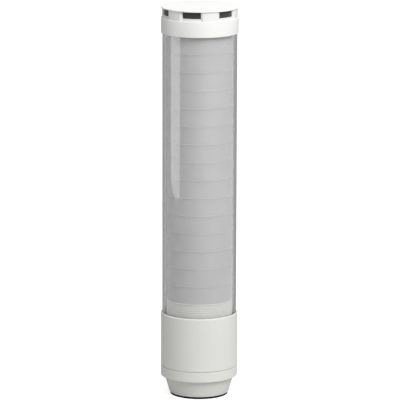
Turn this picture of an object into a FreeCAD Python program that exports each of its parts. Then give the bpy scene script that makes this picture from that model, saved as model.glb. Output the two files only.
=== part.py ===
# Column signal light: a clear tube with a frosted light column on a grey base drum, under a sounder cap.
# Millimetres. +Z is up, the origin is the middle of the gasket's underside, and one sound outlet of the
# cap faces -Y. The foot is fixed to a machine; the tower locks on it with a bayonet and twists off.
import FreeCAD, Part

import math
import os
import re

import Sketcher

os.makedirs("parts", exist_ok=True)
doc = FreeCAD.newDocument("signal_light")

# ---------------------------------------------------------------- sizes
# The driving dimensions. Lengths are in millimetres, spans and turns in degrees.
SIZES = {
    # foot
    "gasket_thickness": 2.0,
    "gasket_inset": 0.8,
    "gasket_hole_margin": 1.0,
    "cone_taper": 4.65,
    "cone_height": 15.5,
    "flange_overhang": 3.2,
    "flange_edge_radius": 0.3,
    "flange_height": 9.45,
    "foot_wall": 2.6,
    "lip_thickness": 1.5,
    "lip_width": 1.85,
    "plate_thickness": 2.0,
    "cable_hole_radius": 8.0,
    "bolt_inset": 5.0,
    "bolt_hole_radius": 2.25,
    "bolt_count": 4,
    "seam_height": 0.5,
    "seam_depth": 0.8,
    "rim_seal_width": 1.0,
    "rim_seal_depth": 0.8,
    "rim_seal_inset": 0.4,
    "seal_fit": 0.05,
    # bayonet
    "ring_wall": 2.4,
    "ring_flange_thickness": 2.6,
    "spigot_height": 11.0,
    "bayonet_depth": 2.8,
    "bayonet_gap": 0.4,
    "bayonet_play": 0.2,
    "lug_count": 3,
    "lug_rise": 2.0,
    "drum_lug_height": 3.0,
    "foot_lug_height": 3.0,
    "drum_lug_span": 26.0,
    "foot_lug_span": 30.0,
    "release_margin": 2.0,
    "stop_gap": 0.5,
    "stop_span": 4.0,
    "lug_root": 0.6,
    # contact carrier in the foot
    "pillar_height": 17.0,
    "pillar_radius": 3.2,
    "pillar_inset": 7.2,
    "carrier_thickness": 2.5,
    "carrier_gap": 0.5,
    "pilot_radius": 1.1,
    "pilot_spare": 0.6,
    "pad_count": 5,
    "pad_first_radius": 5.0,
    "pad_edge_inset": 5.7,
    "pad_width": 2.6,
    "pad_thickness": 0.6,
    "pad_overrun": 8.0,
    "block_length": 26.0,
    "block_width": 15.0,
    "block_height": 10.0,
    "entry_size": 3.0,
    "entry_depth": 5.0,
    "entry_drop": 3.6,
    "terminal_pitch": 5.0,
    "clamp_screw_radius": 1.5,
    "clamp_screw_length": 3.0,
    "clamp_screw_place": 4.6,
    # spring contacts of the tower
    "spring_width": 1.8,
    "spring_thickness": 0.4,
    "spring_hook_radius": 1.6,
    "spring_hook_rise": 2.0,
    "spring_lift": 0.05,
    "spring_slot_fit": 0.3,
    # screws
    "screw_radius": 1.25,
    "screw_fit": 0.15,
    "screw_head_radius": 2.5,
    "screw_head_height": 1.8,
    "screw_length": 6.0,
    "screw_recess_radius": 1.1,
    "screw_recess_depth": 1.0,
    # base drum
    "ledge_width": 1.2,
    "drum_height": 49.45,
    "drum_wall": 2.6,
    "rim_chamfer": 0.8,
    "socket_depth": 8.0,
    "web_clearance": 1.5,
    "web_thickness": 2.5,
    "slip_fit": 0.1,
    "board_boss_height": 5.0,
    "board_boss_radius": 3.0,
    "board_boss_inset": 6.4,
    "board_boss_count": 3,
    "board_thickness": 1.6,
    "board_edge_gap": 0.5,
    "socket_post_radius": 3.2,
    "socket_post_inset": 5.5,
    "socket_post_count": 3,
    "socket_post_fit": 0.4,
    "capacitor_radius": 5.0,
    "capacitor_height": 11.0,
    "capacitor_spread": 24.0,
    "capacitor_setback": 12.0,
    "chip_size": 7.0,
    "chip_height": 1.2,
    "chip_spread": 20.0,
    "chip_setback": 14.0,
    "choke_radius": 4.5,
    "choke_height": 8.0,
    "choke_setback": 9.6,
    "plug_length": 10.0,
    "plug_width": 5.0,
    "plug_height": 6.0,
    # lens socket, lens and light column
    "lens_radius": 33.8,
    "lens_wall": 2.0,
    "lens_gap": 1.8,
    "lens_seal_thickness": 1.5,
    "socket_flange_thickness": 2.0,
    "collar_height": 12.8,
    "collar_wall": 2.5,
    "collar_lip_height": 1.0,
    "collar_lip_proud": 0.4,
    "collar_groove_count": 4,
    "collar_groove_height": 0.8,
    "collar_groove_depth": 0.25,
    "collar_groove_pitch": 2.1,
    "segment_count": 15,
    "segment_pitch": 16.4,
    "diffuser_wall": 1.6,
    "divider_thickness": 1.0,
    "rebate_width": 0.8,
    "rebate_height": 1.2,
    "nest_rise": 1.0,
    "nest_wall": 0.8,
    "bead_height": 1.1,
    "bead_proud": 0.4,
    "post_flat_place": 8.0,
    "post_flat_half": 7.5,
    "light_clearance": 1.4,
    "light_board_width": 12.0,
    "light_board_thickness": 1.2,
    "light_board_margin": 4.0,
    "light_board_count": 3,
    "led_size": 5.0,
    "led_height": 1.6,
    "lead_width": 6.0,
    "lead_thickness": 0.4,
    "lead_lap": 3.0,
    "lead_slot_fit": 0.4,
    "rod_radius": 2.5,
    "rod_fit": 0.4,
    "rod_end": 1.5,
    "thread_fit": 0.05,
    "nut_flat_half": 4.0,
    "nut_height": 4.0,
    "washer_radius": 5.0,
    "washer_thickness": 1.0,
    # cap
    "cap_cover": 0.8,
    "cap_socket_depth": 8.0,
    "cap_collar_height": 14.5,
    "cap_edge_radius": 1.0,
    "cap_hem_chamfer": 0.3,
    "cap_web_thickness": 2.5,
    "dish_depth": 4.0,
    "dish_radius": 12.0,
    "dish_wall": 2.5,
    "hold_down_gap": 0.1,
    "hold_down_wall": 1.6,
    "band_inset": 0.8,
    "band_height": 8.4,
    "band_wall": 2.2,
    "window_count": 6,
    "window_half_span": 15.0,
    "pocket_half_span": 18.0,
    "pocket_depth": 1.2,
    "sill_height": 2.2,
    "mesh_thickness": 0.6,
    "mesh_fit": 0.1,
    "lid_thickness": 1.0,
    "lid_overhang": 1.2,
    "lid_edge_chamfer": 0.25,
    "lid_ring_wall": 1.2,
    "lid_ring_height": 3.0,
    "sounder_boss_height": 3.6,
    "sounder_boss_radius": 2.8,
    "sounder_boss_circle": 20.0,
    "sounder_boss_count": 3,
    "sounder_board_radius": 24.0,
    "sounder_case_radius": 12.0,
    "sounder_case_height": 4.6,
    "sounder_case_wall": 1.0,
    "sounder_hole_radius": 2.0,
    "sounder_disc_thickness": 0.5,
    "sounder_disc_rise": 1.6,
}

# Heights and radii worked out from the sizes. A name here may use the names above it.
PLACES = {
    # radii, from the lens outwards and inwards
    "housing_radius": "lens_radius + ledge_width",
    "lens_bore": "lens_radius - lens_wall",
    "diffuser_radius": "lens_bore - lens_gap",
    "diffuser_bore": "diffuser_radius - diffuser_wall",
    "nest_radius": "diffuser_radius - rebate_width - slip_fit",
    "collar_bore": "diffuser_radius - collar_wall",
    "tube_seat_radius": "lens_radius + slip_fit",
    "drum_bore": "housing_radius - drum_wall",
    "foot_bore": "housing_radius - foot_wall",
    "cone_top_radius": "housing_radius - flange_overhang",
    "cone_bottom_radius": "cone_top_radius - cone_taper",
    "gasket_radius": "cone_bottom_radius - gasket_inset",
    "plate_seat_radius": "cone_bottom_radius + cone_taper * lip_thickness / cone_height - foot_wall",
    "lip_radius": "plate_seat_radius - lip_width",
    "bolt_circle_radius": "plate_seat_radius - bolt_inset",
    "spigot_radius": "drum_bore - bayonet_depth",
    "spigot_bore": "spigot_radius - ring_wall",
    "foot_lug_radius": "drum_bore - bayonet_gap",
    "drum_lug_radius": "spigot_radius + bayonet_gap",
    "carrier_radius": "spigot_bore - carrier_gap",
    "pillar_place": "carrier_radius - pillar_inset",
    "pad_pitch": "(carrier_radius - pad_edge_inset - pad_first_radius) / (pad_count - 1)",
    "board_boss_circle": "drum_bore - board_boss_inset",
    "socket_post_circle": "collar_bore - socket_post_inset",
    "rim_seal_inner": "foot_bore + rim_seal_inset",
    "rim_seal_outer": "rim_seal_inner + rim_seal_width",
    # heights of the foot
    "lip_top": "gasket_thickness + lip_thickness",
    "plate_top": "lip_top + plate_thickness",
    "cone_top": "gasket_thickness + cone_height",
    "shelf_top": "cone_top + foot_wall",
    "ring_flange_top": "shelf_top + ring_flange_thickness",
    "flange_top": "cone_top + flange_height",
    "spigot_top": "flange_top + spigot_height",
    "drum_lug_bottom": "flange_top + lug_rise",
    "drum_lug_top": "drum_lug_bottom + drum_lug_height",
    "foot_lug_bottom": "drum_lug_top + bayonet_play",
    "foot_lug_top": "foot_lug_bottom + foot_lug_height",
    "carrier_bottom": "plate_top + pillar_height",
    "carrier_top": "carrier_bottom + carrier_thickness",
    "pad_bottom": "carrier_top - pad_thickness",
    "block_bottom": "carrier_bottom - block_height",
    # turns of the bayonet
    "twist_range": "(foot_lug_span + drum_lug_span) / 2 + release_margin",
    "locked_stop_turn": "0 - drum_lug_span / 2 - stop_gap - stop_span / 2",
    "release_stop_turn": "twist_range + drum_lug_span / 2 + stop_gap + stop_span / 2",
    "pad_turn": "90 + twist_range / 2",
    "pad_span": "twist_range + 2 * pad_overrun",
    # heights of the drum
    "drum_bottom": "flange_top + seam_height",
    "drum_top": "drum_bottom + drum_height",
    "web_bottom": "spigot_top + web_clearance",
    "web_top": "web_bottom + web_thickness",
    "board_bottom": "web_top + board_boss_height",
    "board_top": "board_bottom + board_thickness",
    "tube_bottom": "drum_top - socket_depth",
    "socket_seat": "tube_bottom - lens_seal_thickness - socket_flange_thickness",
    "socket_web_top": "socket_seat + socket_flange_thickness",
    "spring_bottom": "carrier_top + spring_lift",
    "plug_top": "board_top + plug_height",
    # heights of the light column and the cap
    "collar_top": "drum_top + collar_height",
    "stack_top": "collar_top + segment_count * segment_pitch",
    "cap_bottom": "stack_top - cap_cover",
    "tube_top": "cap_bottom + cap_socket_depth",
    "cap_web_bottom": "tube_top + lens_seal_thickness",
    "cap_web_top": "cap_web_bottom + cap_web_thickness",
    "dish_bottom": "cap_web_bottom - dish_depth",
    "dish_floor": "dish_bottom + cap_web_thickness",
    "cap_shoulder": "cap_bottom + cap_collar_height",
    "band_top": "cap_shoulder + band_height",
    "band_radius": "housing_radius - band_inset",
    "band_bore": "band_radius - band_wall",
    "pocket_radius": "band_radius - pocket_depth",
    "mesh_radius": "band_bore - mesh_fit",
    "mesh_bore": "mesh_radius - mesh_thickness",
    "lid_radius": "band_radius + lid_overhang",
    "lid_ring_radius": "mesh_bore - mesh_fit",
    "sounder_board_bottom": "cap_web_top + sounder_boss_height",
    "sounder_board_top": "sounder_board_bottom + board_thickness",
    # light post, boards and rod
    "board_face": "post_flat_place + light_board_thickness",
    "led_face": "board_face + led_height",
    "post_corner": "sqrt(post_flat_place ^ 2 + post_flat_half ^ 2)",
    "light_hole_radius": "max(post_corner; led_face) + light_clearance",
    "light_board_bottom": "socket_web_top + light_board_margin",
    "light_board_top": "dish_bottom - light_board_margin",
    "rod_hole_radius": "rod_radius + rod_fit",
    "rod_bottom": "socket_seat - washer_thickness - nut_height - rod_end",
    "rod_top": "dish_floor + washer_thickness + nut_height + rod_end",
    "screw_hole_radius": "screw_radius + screw_fit",
}

sheet = doc.addObject("Spreadsheet::Sheet", "sizes")
for row, (size_name, size_value) in enumerate(SIZES.items(), 1):
    sheet.set(f"A{row}", size_name)
    sheet.set(f"B{row}", str(size_value))
    sheet.setAlias(f"B{row}", size_name)
doc.recompute()


def formula(text):
    """The expression with each place spelled out and each size read from the sheet."""
    def spell(match):
        word = match.group(0)
        if word in PLACES:
            return f"({formula(PLACES[word])})"
        if word in SIZES:
            return f"sizes.{word}"
        return word
    return re.sub(r"[a-z_]+", spell, text)


def value(text):
    """The expression's number, as the sheet has it now."""
    return float(sheet.evalExpression(formula(text)))


def count(name):
    return int(round(value(name)))


def bind(thing, prop, text):
    thing.setExpression(prop, formula(text))


# ---------------------------------------------------------------- sketches and features
def new_body(label):
    body = doc.addObject("PartDesign::Body", label)
    body.Label = label
    return body


def origin_part(body, role):
    return next(part for part in body.Origin.OriginFeatures if part.Role == role)


def pin_point(sketch, element, end, across, up):
    """Hold one end of an element at the two distances from the sketch's origin."""
    for kind, text in (("DistanceX", across), ("DistanceY", up)):
        index = sketch.addConstraint(Sketcher.Constraint(kind, -1, 1, element, end, value(text)))
        bind(sketch, f"Constraints[{index}]", text)


def middle_of_arc(start, finish, radius, side):
    """The point half-way along the short arc from start to finish, bulging to the left for side 1."""
    chord = finish - start
    left = FreeCAD.Vector(-chord.y, chord.x, 0).normalize()
    rise = radius - math.sqrt(radius ** 2 - (chord.Length / 2) ** 2)
    return (start + finish) * 0.5 + left * (side * rise)


def add_outline(sketch, corners):
    """A closed outline. A corner is (across, up), or (across, up, radius, side) where an arc leads to it."""
    points = [FreeCAD.Vector(value(corner[0]), value(corner[1]), 0) for corner in corners]
    ends = []
    for index, corner in enumerate(corners):
        start, finish = points[index - 1], points[index]
        if len(corner) == 2:
            element = sketch.addGeometry(Part.LineSegment(start, finish), False)
            ends.append((element, 1, 2))
            continue
        radius_text, side = corner[2:]
        middle = middle_of_arc(start, finish, value(radius_text), side)
        element = sketch.addGeometry(Part.Arc(start, middle, finish), False)
        index_of_radius = sketch.addConstraint(Sketcher.Constraint("Radius", element, value(radius_text)))
        bind(sketch, f"Constraints[{index_of_radius}]", radius_text)
        ends.append((element, 1, 2) if side < 0 else (element, 2, 1))
    for index, corner in enumerate(corners):
        element, first, last = ends[index]
        after, after_first, after_last = ends[(index + 1) % len(ends)]
        sketch.addConstraint(Sketcher.Constraint("Coincident", element, last, after, after_first))
        pin_point(sketch, element, last, corner[0], corner[1])


def add_circle(sketch, across, up, radius):
    centre = FreeCAD.Vector(value(across), value(up), 0)
    element = sketch.addGeometry(Part.Circle(centre, FreeCAD.Vector(0, 0, 1), value(radius)), False)
    pin_point(sketch, element, 3, across, up)
    index = sketch.addConstraint(Sketcher.Constraint("Radius", element, value(radius)))
    bind(sketch, f"Constraints[{index}]", radius)


def new_sketch(body, role, lift="0", turn="0"):
    """A sketch on one of the body's own planes, lifted along its normal, turned about the upright axis."""
    sketch = body.newObject("Sketcher::SketchObject", f"{body.Label}_sketch")
    sketch.AttachmentSupport = [(origin_part(body, role), "")]
    sketch.MapMode = "FlatFace"
    upright = FreeCAD.Vector(0, 0, 1) if role == "XY_Plane" else FreeCAD.Vector(0, 1, 0)
    rotation = FreeCAD.Rotation(upright, value(turn))
    sketch.AttachmentOffset = FreeCAD.Placement(FreeCAD.Vector(0, 0, value(lift)), rotation)
    if lift != "0":
        bind(sketch, "AttachmentOffset.Base.z", lift)
    if turn != "0":
        bind(sketch, "AttachmentOffset.Rotation.Angle", turn)
    return sketch


def turned(body, sketch, span="360", cut=False):
    """Revolve a sketch about its upright axis, evenly to both sides of its plane."""
    feature = body.newObject("PartDesign::Groove" if cut else "PartDesign::Revolution", f"{body.Label}_turned")
    feature.Profile = sketch
    feature.ReferenceAxis = (sketch, ["V_Axis"])
    feature.Midplane = span != "360"
    bind(feature, "Angle", span)
    return feature


def raised(body, sketch, length, both=False):
    pad = body.newObject("PartDesign::Pad", f"{body.Label}_raised")
    pad.Profile = sketch
    bind(pad, "Length", length)
    if both:
        pad.SideType = "Symmetric"
    return pad


def sunk(body, sketch, depth, both=False):
    """Pocket from the sketch down, against its normal, or to both sides of it."""
    pocket = body.newObject("PartDesign::Pocket", f"{body.Label}_sunk")
    pocket.Profile = sketch
    bind(pocket, "Length", depth)
    if both:
        pocket.SideType = "Symmetric"
    return pocket


def around(body, feature, copies):
    """Repeat a feature evenly about the upright axis."""
    pattern = body.newObject("PartDesign::PolarPattern", f"{body.Label}_around")
    pattern.Originals = [feature]
    pattern.Axis = (origin_part(body, "Z_Axis"), [""])
    pattern.Angle = 360
    bind(pattern, "Occurrences", copies)
    body.Tip = pattern
    return pattern


def along(body, feature, role, copies, spacing):
    """Repeat a feature along one of the body's axes."""
    pattern = body.newObject("PartDesign::LinearPattern", f"{body.Label}_along")
    pattern.Originals = [feature]
    pattern.Direction = (origin_part(body, role), [""])
    pattern.Mode = "Spacing"
    bind(pattern, "Occurrences", copies)
    bind(pattern, "Offset", spacing)
    body.Tip = pattern
    return pattern


def profile_body(label, corners):
    """A body turned from one closed outline of (radius, height) corners."""
    body = new_body(label)
    sketch = new_sketch(body, "XZ_Plane")
    add_outline(sketch, corners)
    turned(body, sketch)
    return body


def ring(label, inner, outer, bottom, top):
    """A flat ring between two radii and two heights."""
    return profile_body(label, [(inner, bottom), (outer, bottom), (outer, top), (inner, top)])


def box_corners(left, front, right, back):
    return [(left, front), (right, front), (right, back), (left, back)]


def on_circle(radius, degrees):
    """The place at this angle on a circle about the axis."""
    return (f"{radius} * cos({degrees} * 1deg)", f"{radius} * sin({degrees} * 1deg)")


def holes(body, radius, across, up, top, depth, copies=None):
    """A round hole, down from a height, alone or repeated about the axis."""
    sketch = new_sketch(body, "XY_Plane", lift=top)
    add_circle(sketch, across, up, radius)
    pocket = sunk(body, sketch, depth)
    return around(body, pocket, copies) if copies else pocket


def bosses(body, radius, across, up, bottom, height, copies, plate):
    """Round posts from a height up, repeated about the axis, each with a pilot hole for a screw through
    a plate of this thickness."""
    sketch = new_sketch(body, "XY_Plane", lift=bottom)
    add_circle(sketch, across, up, radius)
    around(body, raised(body, sketch, height), copies)
    holes(body, "pilot_radius", across, up, f"{bottom} + {height}",
          f"(screw_length - {plate} + pilot_spare)", copies)


def screws(label, circle, seat, copies, turn):
    """Pan-head screws on a circle: each is turned about its own axis, with a round recess in its head."""
    body = new_body(label)
    sketch = new_sketch(body, "XZ_Plane", turn=turn)
    head_top = f"{seat} + screw_head_height"
    recess_floor = f"{head_top} - screw_recess_depth"
    add_outline(sketch, [
        (circle, f"{seat} - screw_length"),
        (f"{circle} + pilot_radius - thread_fit", f"{seat} - screw_length"),
        (f"{circle} + pilot_radius - thread_fit", seat),
        (f"{circle} + screw_head_radius", seat),
        (f"{circle} + screw_head_radius", head_top),
        (f"{circle} + screw_recess_radius", head_top),
        (f"{circle} + screw_recess_radius", recess_floor),
        (circle, recess_floor),
    ])
    start = FreeCAD.Vector(value(circle), 0, 0)
    line = sketch.addGeometry(Part.LineSegment(start, start + FreeCAD.Vector(0, 1, 0)), True)
    pin_point(sketch, line, 1, circle, "0")
    pin_point(sketch, line, 2, circle, "1")
    feature = body.newObject("PartDesign::Revolution", f"{label}_turned")
    feature.Profile = sketch
    feature.ReferenceAxis = (sketch, ["Axis0"])
    feature.Angle = 360
    around(body, feature, copies)
    return body


# ---------------------------------------------------------------- the foot
def make_gasket():
    """Rubber gasket under the foot, stepped to fill the foot's lip, open at the cable entry and the bolts."""
    hole = "cable_hole_radius + gasket_hole_margin"
    gasket = profile_body("foot_gasket", [
        (hole, "0"),
        ("gasket_radius", "0"),
        ("gasket_radius", "gasket_thickness"),
        ("lip_radius - slip_fit", "gasket_thickness"),
        ("lip_radius - slip_fit", "lip_top"),
        (hole, "lip_top"),
    ])
    holes(gasket, "bolt_hole_radius", *on_circle("bolt_circle_radius", "45"), "lip_top", "lip_top", "bolt_count")


def make_foot():
    """Moulded foot: a hollow cone under an overhanging flange, with a lip below and a shelf inside."""
    profile_body("mounting_foot", [
        ("lip_radius", "gasket_thickness"),
        ("cone_bottom_radius", "gasket_thickness"),
        ("cone_top_radius", "cone_top"),
        ("housing_radius - flange_edge_radius", "cone_top"),
        ("housing_radius", "cone_top + flange_edge_radius", "flange_edge_radius", -1),
        ("housing_radius", "flange_top"),
        ("rim_seal_outer + seal_fit", "flange_top"),
        ("rim_seal_outer + seal_fit", "flange_top - rim_seal_depth"),
        ("rim_seal_inner - seal_fit", "flange_top - rim_seal_depth"),
        ("rim_seal_inner - seal_fit", "flange_top"),
        ("foot_bore", "flange_top"),
        ("foot_bore", "shelf_top"),
        ("spigot_bore", "shelf_top"),
        ("spigot_bore", "cone_top"),
        ("cone_top_radius - foot_wall", "cone_top"),
        ("plate_seat_radius", "lip_top"),
        ("lip_radius", "lip_top"),
    ])


def make_foot_plate():
    """Steel plate on the foot's lip, with the cable entry and the bolt holes, and two pillars riveted to it."""
    plate = ring("foot_plate", "cable_hole_radius", "plate_seat_radius - slip_fit", "lip_top", "plate_top")
    holes(plate, "bolt_hole_radius", *on_circle("bolt_circle_radius", "45"),
          "plate_top", "plate_thickness", "bolt_count")
    pillars = new_body("carrier_pillars")
    bosses(pillars, "pillar_radius", "pillar_place", "0", "plate_top", "pillar_height", "2", "carrier_thickness")


def make_rim_seal():
    """Thin seal ring in the groove of the foot's rim, flush with it."""
    ring("rim_seal", "rim_seal_inner", "rim_seal_outer", "flange_top - rim_seal_depth", "flange_top")


def make_bayonet_ring():
    """Ring welded into the foot, with three lugs that hold the tower down and a stop at each end of a twist."""
    body = profile_body("bayonet_ring", [
        ("spigot_bore", "shelf_top"),
        ("foot_bore - slip_fit", "shelf_top"),
        ("foot_bore - slip_fit", "ring_flange_top"),
        ("spigot_radius", "ring_flange_top"),
        ("spigot_radius", "spigot_top"),
        ("spigot_bore", "spigot_top"),
    ])
    rooted = "spigot_radius - lug_root"
    shapes = [
        ("foot_lug_bottom", "foot_lug_span", "0"),
        ("ring_flange_top", "stop_span", "locked_stop_turn"),
        ("ring_flange_top", "stop_span", "release_stop_turn"),
    ]
    for bottom, span, turn in shapes:
        sketch = new_sketch(body, "XZ_Plane", turn=turn)
        add_outline(sketch, box_corners(rooted, bottom, "foot_lug_radius", "foot_lug_top"))
        around(body, turned(body, sketch, span), "lug_count")


def pad_outlines(sketch, bottom, top, margin="0"):
    """One rectangle for each contact pad, side by side outwards."""
    for index in range(count("pad_count")):
        middle = f"pad_first_radius + {index} * pad_pitch"
        half = f"(pad_width / 2 + {margin})"
        add_outline(sketch, box_corners(f"{middle} - {half}", bottom, f"{middle} + {half}", top))


def make_contact_carrier():
    """Disc in the foot that holds the contact pads, screwed to the two pillars."""
    body = profile_body("contact_carrier", [
        ("0", "carrier_bottom"),
        ("carrier_radius", "carrier_bottom"),
        ("carrier_radius", "carrier_top"),
        ("0", "carrier_top"),
    ])
    sketch = new_sketch(body, "XZ_Plane", turn="pad_turn")
    pad_outlines(sketch, "pad_bottom", "carrier_top")
    turned(body, sketch, "pad_span", cut=True)
    holes(body, "screw_hole_radius", "pillar_place", "0", "carrier_top", "carrier_thickness", "2")


def make_contact_pads():
    """Curved brass pads, let in flush, as long as the spring contacts travel."""
    body = new_body("contact_pads")
    sketch = new_sketch(body, "XZ_Plane", turn="pad_turn")
    pad_outlines(sketch, "pad_bottom", "carrier_top")
    turned(body, sketch, "pad_span")


def first_terminal():
    return "0 - (pad_count - 1) / 2 * terminal_pitch"


def make_terminal_block():
    """Block under the carrier: a wire enters at each side hole, and a screw from below clamps it."""
    body = new_body("terminal_block")
    sketch = new_sketch(body, "XY_Plane", lift="block_bottom")
    add_outline(sketch, box_corners("0 - block_length / 2", "0 - block_width / 2",
                                    "block_length / 2", "block_width / 2"))
    raised(body, sketch, "block_height")
    for side in ("1", "-1"):
        entry = new_sketch(body, "XZ_Plane", lift=f"{side} * (block_width - entry_depth) / 2")
        left = f"{first_terminal()} - entry_size / 2"
        middle = "carrier_bottom - entry_drop"
        add_outline(entry, box_corners(left, f"{middle} - entry_size / 2",
                                       f"{left} + entry_size", f"{middle} + entry_size / 2"))
        along(body, sunk(body, entry, "entry_depth", both=True), "X_Axis", "pad_count", "terminal_pitch")
        clamp = new_sketch(body, "XY_Plane", lift="block_bottom + clamp_screw_length")
        add_circle(clamp, first_terminal(), f"{side} * clamp_screw_place", "clamp_screw_radius + thread_fit")
        along(body, sunk(body, clamp, "clamp_screw_length"), "X_Axis", "pad_count", "terminal_pitch")


def make_clamp_screws():
    """The screws of the terminals, flush with the block's underside."""
    body = new_body("clamp_screws")
    sketch = new_sketch(body, "XY_Plane", lift="block_bottom")
    for side in ("1", "-1"):
        add_circle(sketch, first_terminal(), f"{side} * clamp_screw_place", "clamp_screw_radius")
    along(body, raised(body, sketch, "clamp_screw_length"), "X_Axis", "pad_count", "terminal_pitch")


# ---------------------------------------------------------------- the base drum
def make_base_housing():
    """Moulded drum: bayonet lugs below, a web across it, and a seat for the lens socket at its top."""
    drum = profile_body("base_housing", [
        ("0", "web_bottom"),
        ("drum_bore", "web_bottom"),
        ("drum_bore", "flange_top"),
        ("housing_radius - seam_depth", "flange_top"),
        ("housing_radius - seam_depth", "drum_bottom"),
        ("housing_radius", "drum_bottom"),
        ("housing_radius", "drum_top - rim_chamfer"),
        ("housing_radius - rim_chamfer", "drum_top"),
        ("tube_seat_radius", "drum_top"),
        ("tube_seat_radius", "socket_seat"),
        ("drum_bore", "socket_seat"),
        ("drum_bore", "web_top"),
        ("0", "web_top"),
    ])
    lug = new_sketch(drum, "XZ_Plane")
    add_outline(lug, box_corners("drum_lug_radius", "drum_lug_bottom", "drum_bore + lug_root", "drum_lug_top"))
    around(drum, turned(drum, lug, "drum_lug_span"), "lug_count")
    bosses(drum, "board_boss_radius", *on_circle("board_boss_circle", "90"),
           "web_top", "board_boss_height", "board_boss_count", "board_thickness")
    bosses(drum, "socket_post_radius", *on_circle("socket_post_circle", "30"),
           "web_top", "(socket_seat - web_top)", "socket_post_count", "socket_flange_thickness")
    slot_spring_holes(drum, "web_top", "web_thickness")


def slot_spring_holes(body, top, depth):
    """A row of slots that the spring contacts pass through."""
    sketch = new_sketch(body, "XY_Plane", lift=top)
    half = "(spring_width / 2 + spring_slot_fit)"
    add_outline(sketch, box_corners("0 - spring_slot_fit", f"pad_first_radius - {half}",
                                    "spring_thickness + spring_slot_fit", f"pad_first_radius + {half}"))
    along(body, sunk(body, sketch, depth), "Y_Axis", "pad_count", "pad_pitch")


def make_contact_springs():
    """Hooked bronze strips that hang from the control board and press on the pads."""
    body = new_body("contact_springs")
    sketch = new_sketch(body, "XZ_Plane", lift="0 - pad_first_radius")
    outer = "spring_hook_radius"
    inner = "(spring_hook_radius - spring_thickness)"
    centre = "(spring_thickness - spring_hook_radius)"
    turn_height = f"(spring_bottom + {outer})"
    add_outline(sketch, [
        ("spring_thickness", "board_top"),
        ("0", "board_top"),
        (f"{centre} + {inner}", turn_height),
        (centre, f"{turn_height} - {inner}", inner, 1),
        (f"{centre} - {inner}", turn_height, inner, 1),
        (f"{centre} - {inner}", f"{turn_height} + spring_hook_rise"),
        (f"{centre} - {outer}", f"{turn_height} + spring_hook_rise"),
        (f"{centre} - {outer}", turn_height),
        (centre, f"{turn_height} - {outer}", outer, -1),
        (f"{centre} + {outer}", turn_height, outer, -1),
    ])
    along(body, raised(body, sketch, "spring_width", both=True), "Y_Axis", "pad_count", "pad_pitch")


def make_control_board():
    """Round board on the bosses of the web, with holes for the posts of the lens socket."""
    body = profile_body("control_board", [
        ("0", "board_bottom"),
        ("drum_bore - board_edge_gap", "board_bottom"),
        ("drum_bore - board_edge_gap", "board_top"),
        ("0", "board_top"),
    ])
    holes(body, "socket_post_radius + socket_post_fit", *on_circle("socket_post_circle", "30"),
          "board_top", "board_thickness", "socket_post_count")
    holes(body, "screw_hole_radius", *on_circle("board_boss_circle", "90"),
          "board_top", "board_thickness", "board_boss_count")
    slot_spring_holes(body, "board_top", "board_thickness")


def make_board_parts():
    """What stands on the control board: capacitors, driver chips, a choke and the plug of the column."""
    capacitors = new_body("capacitors")
    sketch = new_sketch(capacitors, "XY_Plane", lift="board_top")
    add_circle(sketch, "0 - capacitor_spread / 2", "0 - capacitor_setback", "capacitor_radius")
    along(capacitors, raised(capacitors, sketch, "capacitor_height"), "X_Axis", "2", "capacitor_spread")

    chips = new_body("driver_chips")
    sketch = new_sketch(chips, "XY_Plane", lift="board_top")
    add_outline(sketch, box_corners("0 - (chip_spread + chip_size) / 2", "chip_setback - chip_size / 2",
                                    "0 - (chip_spread - chip_size) / 2", "chip_setback + chip_size / 2"))
    along(chips, raised(chips, sketch, "chip_height"), "X_Axis", "2", "chip_spread")

    choke = new_body("choke")
    sketch = new_sketch(choke, "XY_Plane", lift="board_top")
    add_circle(sketch, "0", "0 - choke_setback", "choke_radius")
    raised(choke, sketch, "choke_height")

    plug = new_body("column_plug")
    sketch = new_sketch(plug, "XY_Plane", lift="board_top")
    add_outline(sketch, box_corners("board_face - plug_width / 2", "0 - plug_length / 2",
                                    "board_face + plug_width / 2", "plug_length / 2"))
    raised(plug, sketch, "plug_height")


# ---------------------------------------------------------------- lens socket, lens and light column
def make_lens_socket():
    """Grooved collar on a web: it carries the tube outside, the first diffuser on its rim and the light
    post inside."""
    grooves = []
    for index in reversed(range(count("collar_groove_count"))):
        bottom = f"collar_top - collar_lip_height - (1 + {index}) * collar_groove_pitch"
        floor = "diffuser_radius - collar_groove_depth"
        grooves += [
            ("diffuser_radius", bottom),
            (floor, bottom),
            (floor, f"{bottom} + collar_groove_height"),
            ("diffuser_radius", f"{bottom} + collar_groove_height"),
        ]
    body = profile_body("lens_socket", [
        ("rod_hole_radius", "socket_seat"),
        ("lens_radius", "socket_seat"),
        ("lens_radius", "socket_web_top"),
        ("diffuser_radius", "socket_web_top"),
        *grooves,
        ("diffuser_radius", "collar_top - collar_lip_height"),
        ("diffuser_radius + collar_lip_proud", "collar_top - collar_lip_height"),
        ("diffuser_radius + collar_lip_proud", "collar_top"),
        ("nest_radius", "collar_top"),
        ("nest_radius", "collar_top + nest_rise"),
        ("nest_radius - nest_wall", "collar_top + nest_rise"),
        ("nest_radius - nest_wall", "collar_top - collar_lip_height"),
        ("collar_bore", "collar_top - collar_lip_height - nest_wall"),
        ("collar_bore", "socket_web_top"),
        ("rod_hole_radius", "socket_web_top"),
    ])
    holes(body, "screw_hole_radius", *on_circle("socket_post_circle", "30"),
          "socket_web_top", "socket_flange_thickness", "socket_post_count")
    slot_for_lead(body, "socket_web_top", "socket_flange_thickness")


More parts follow.
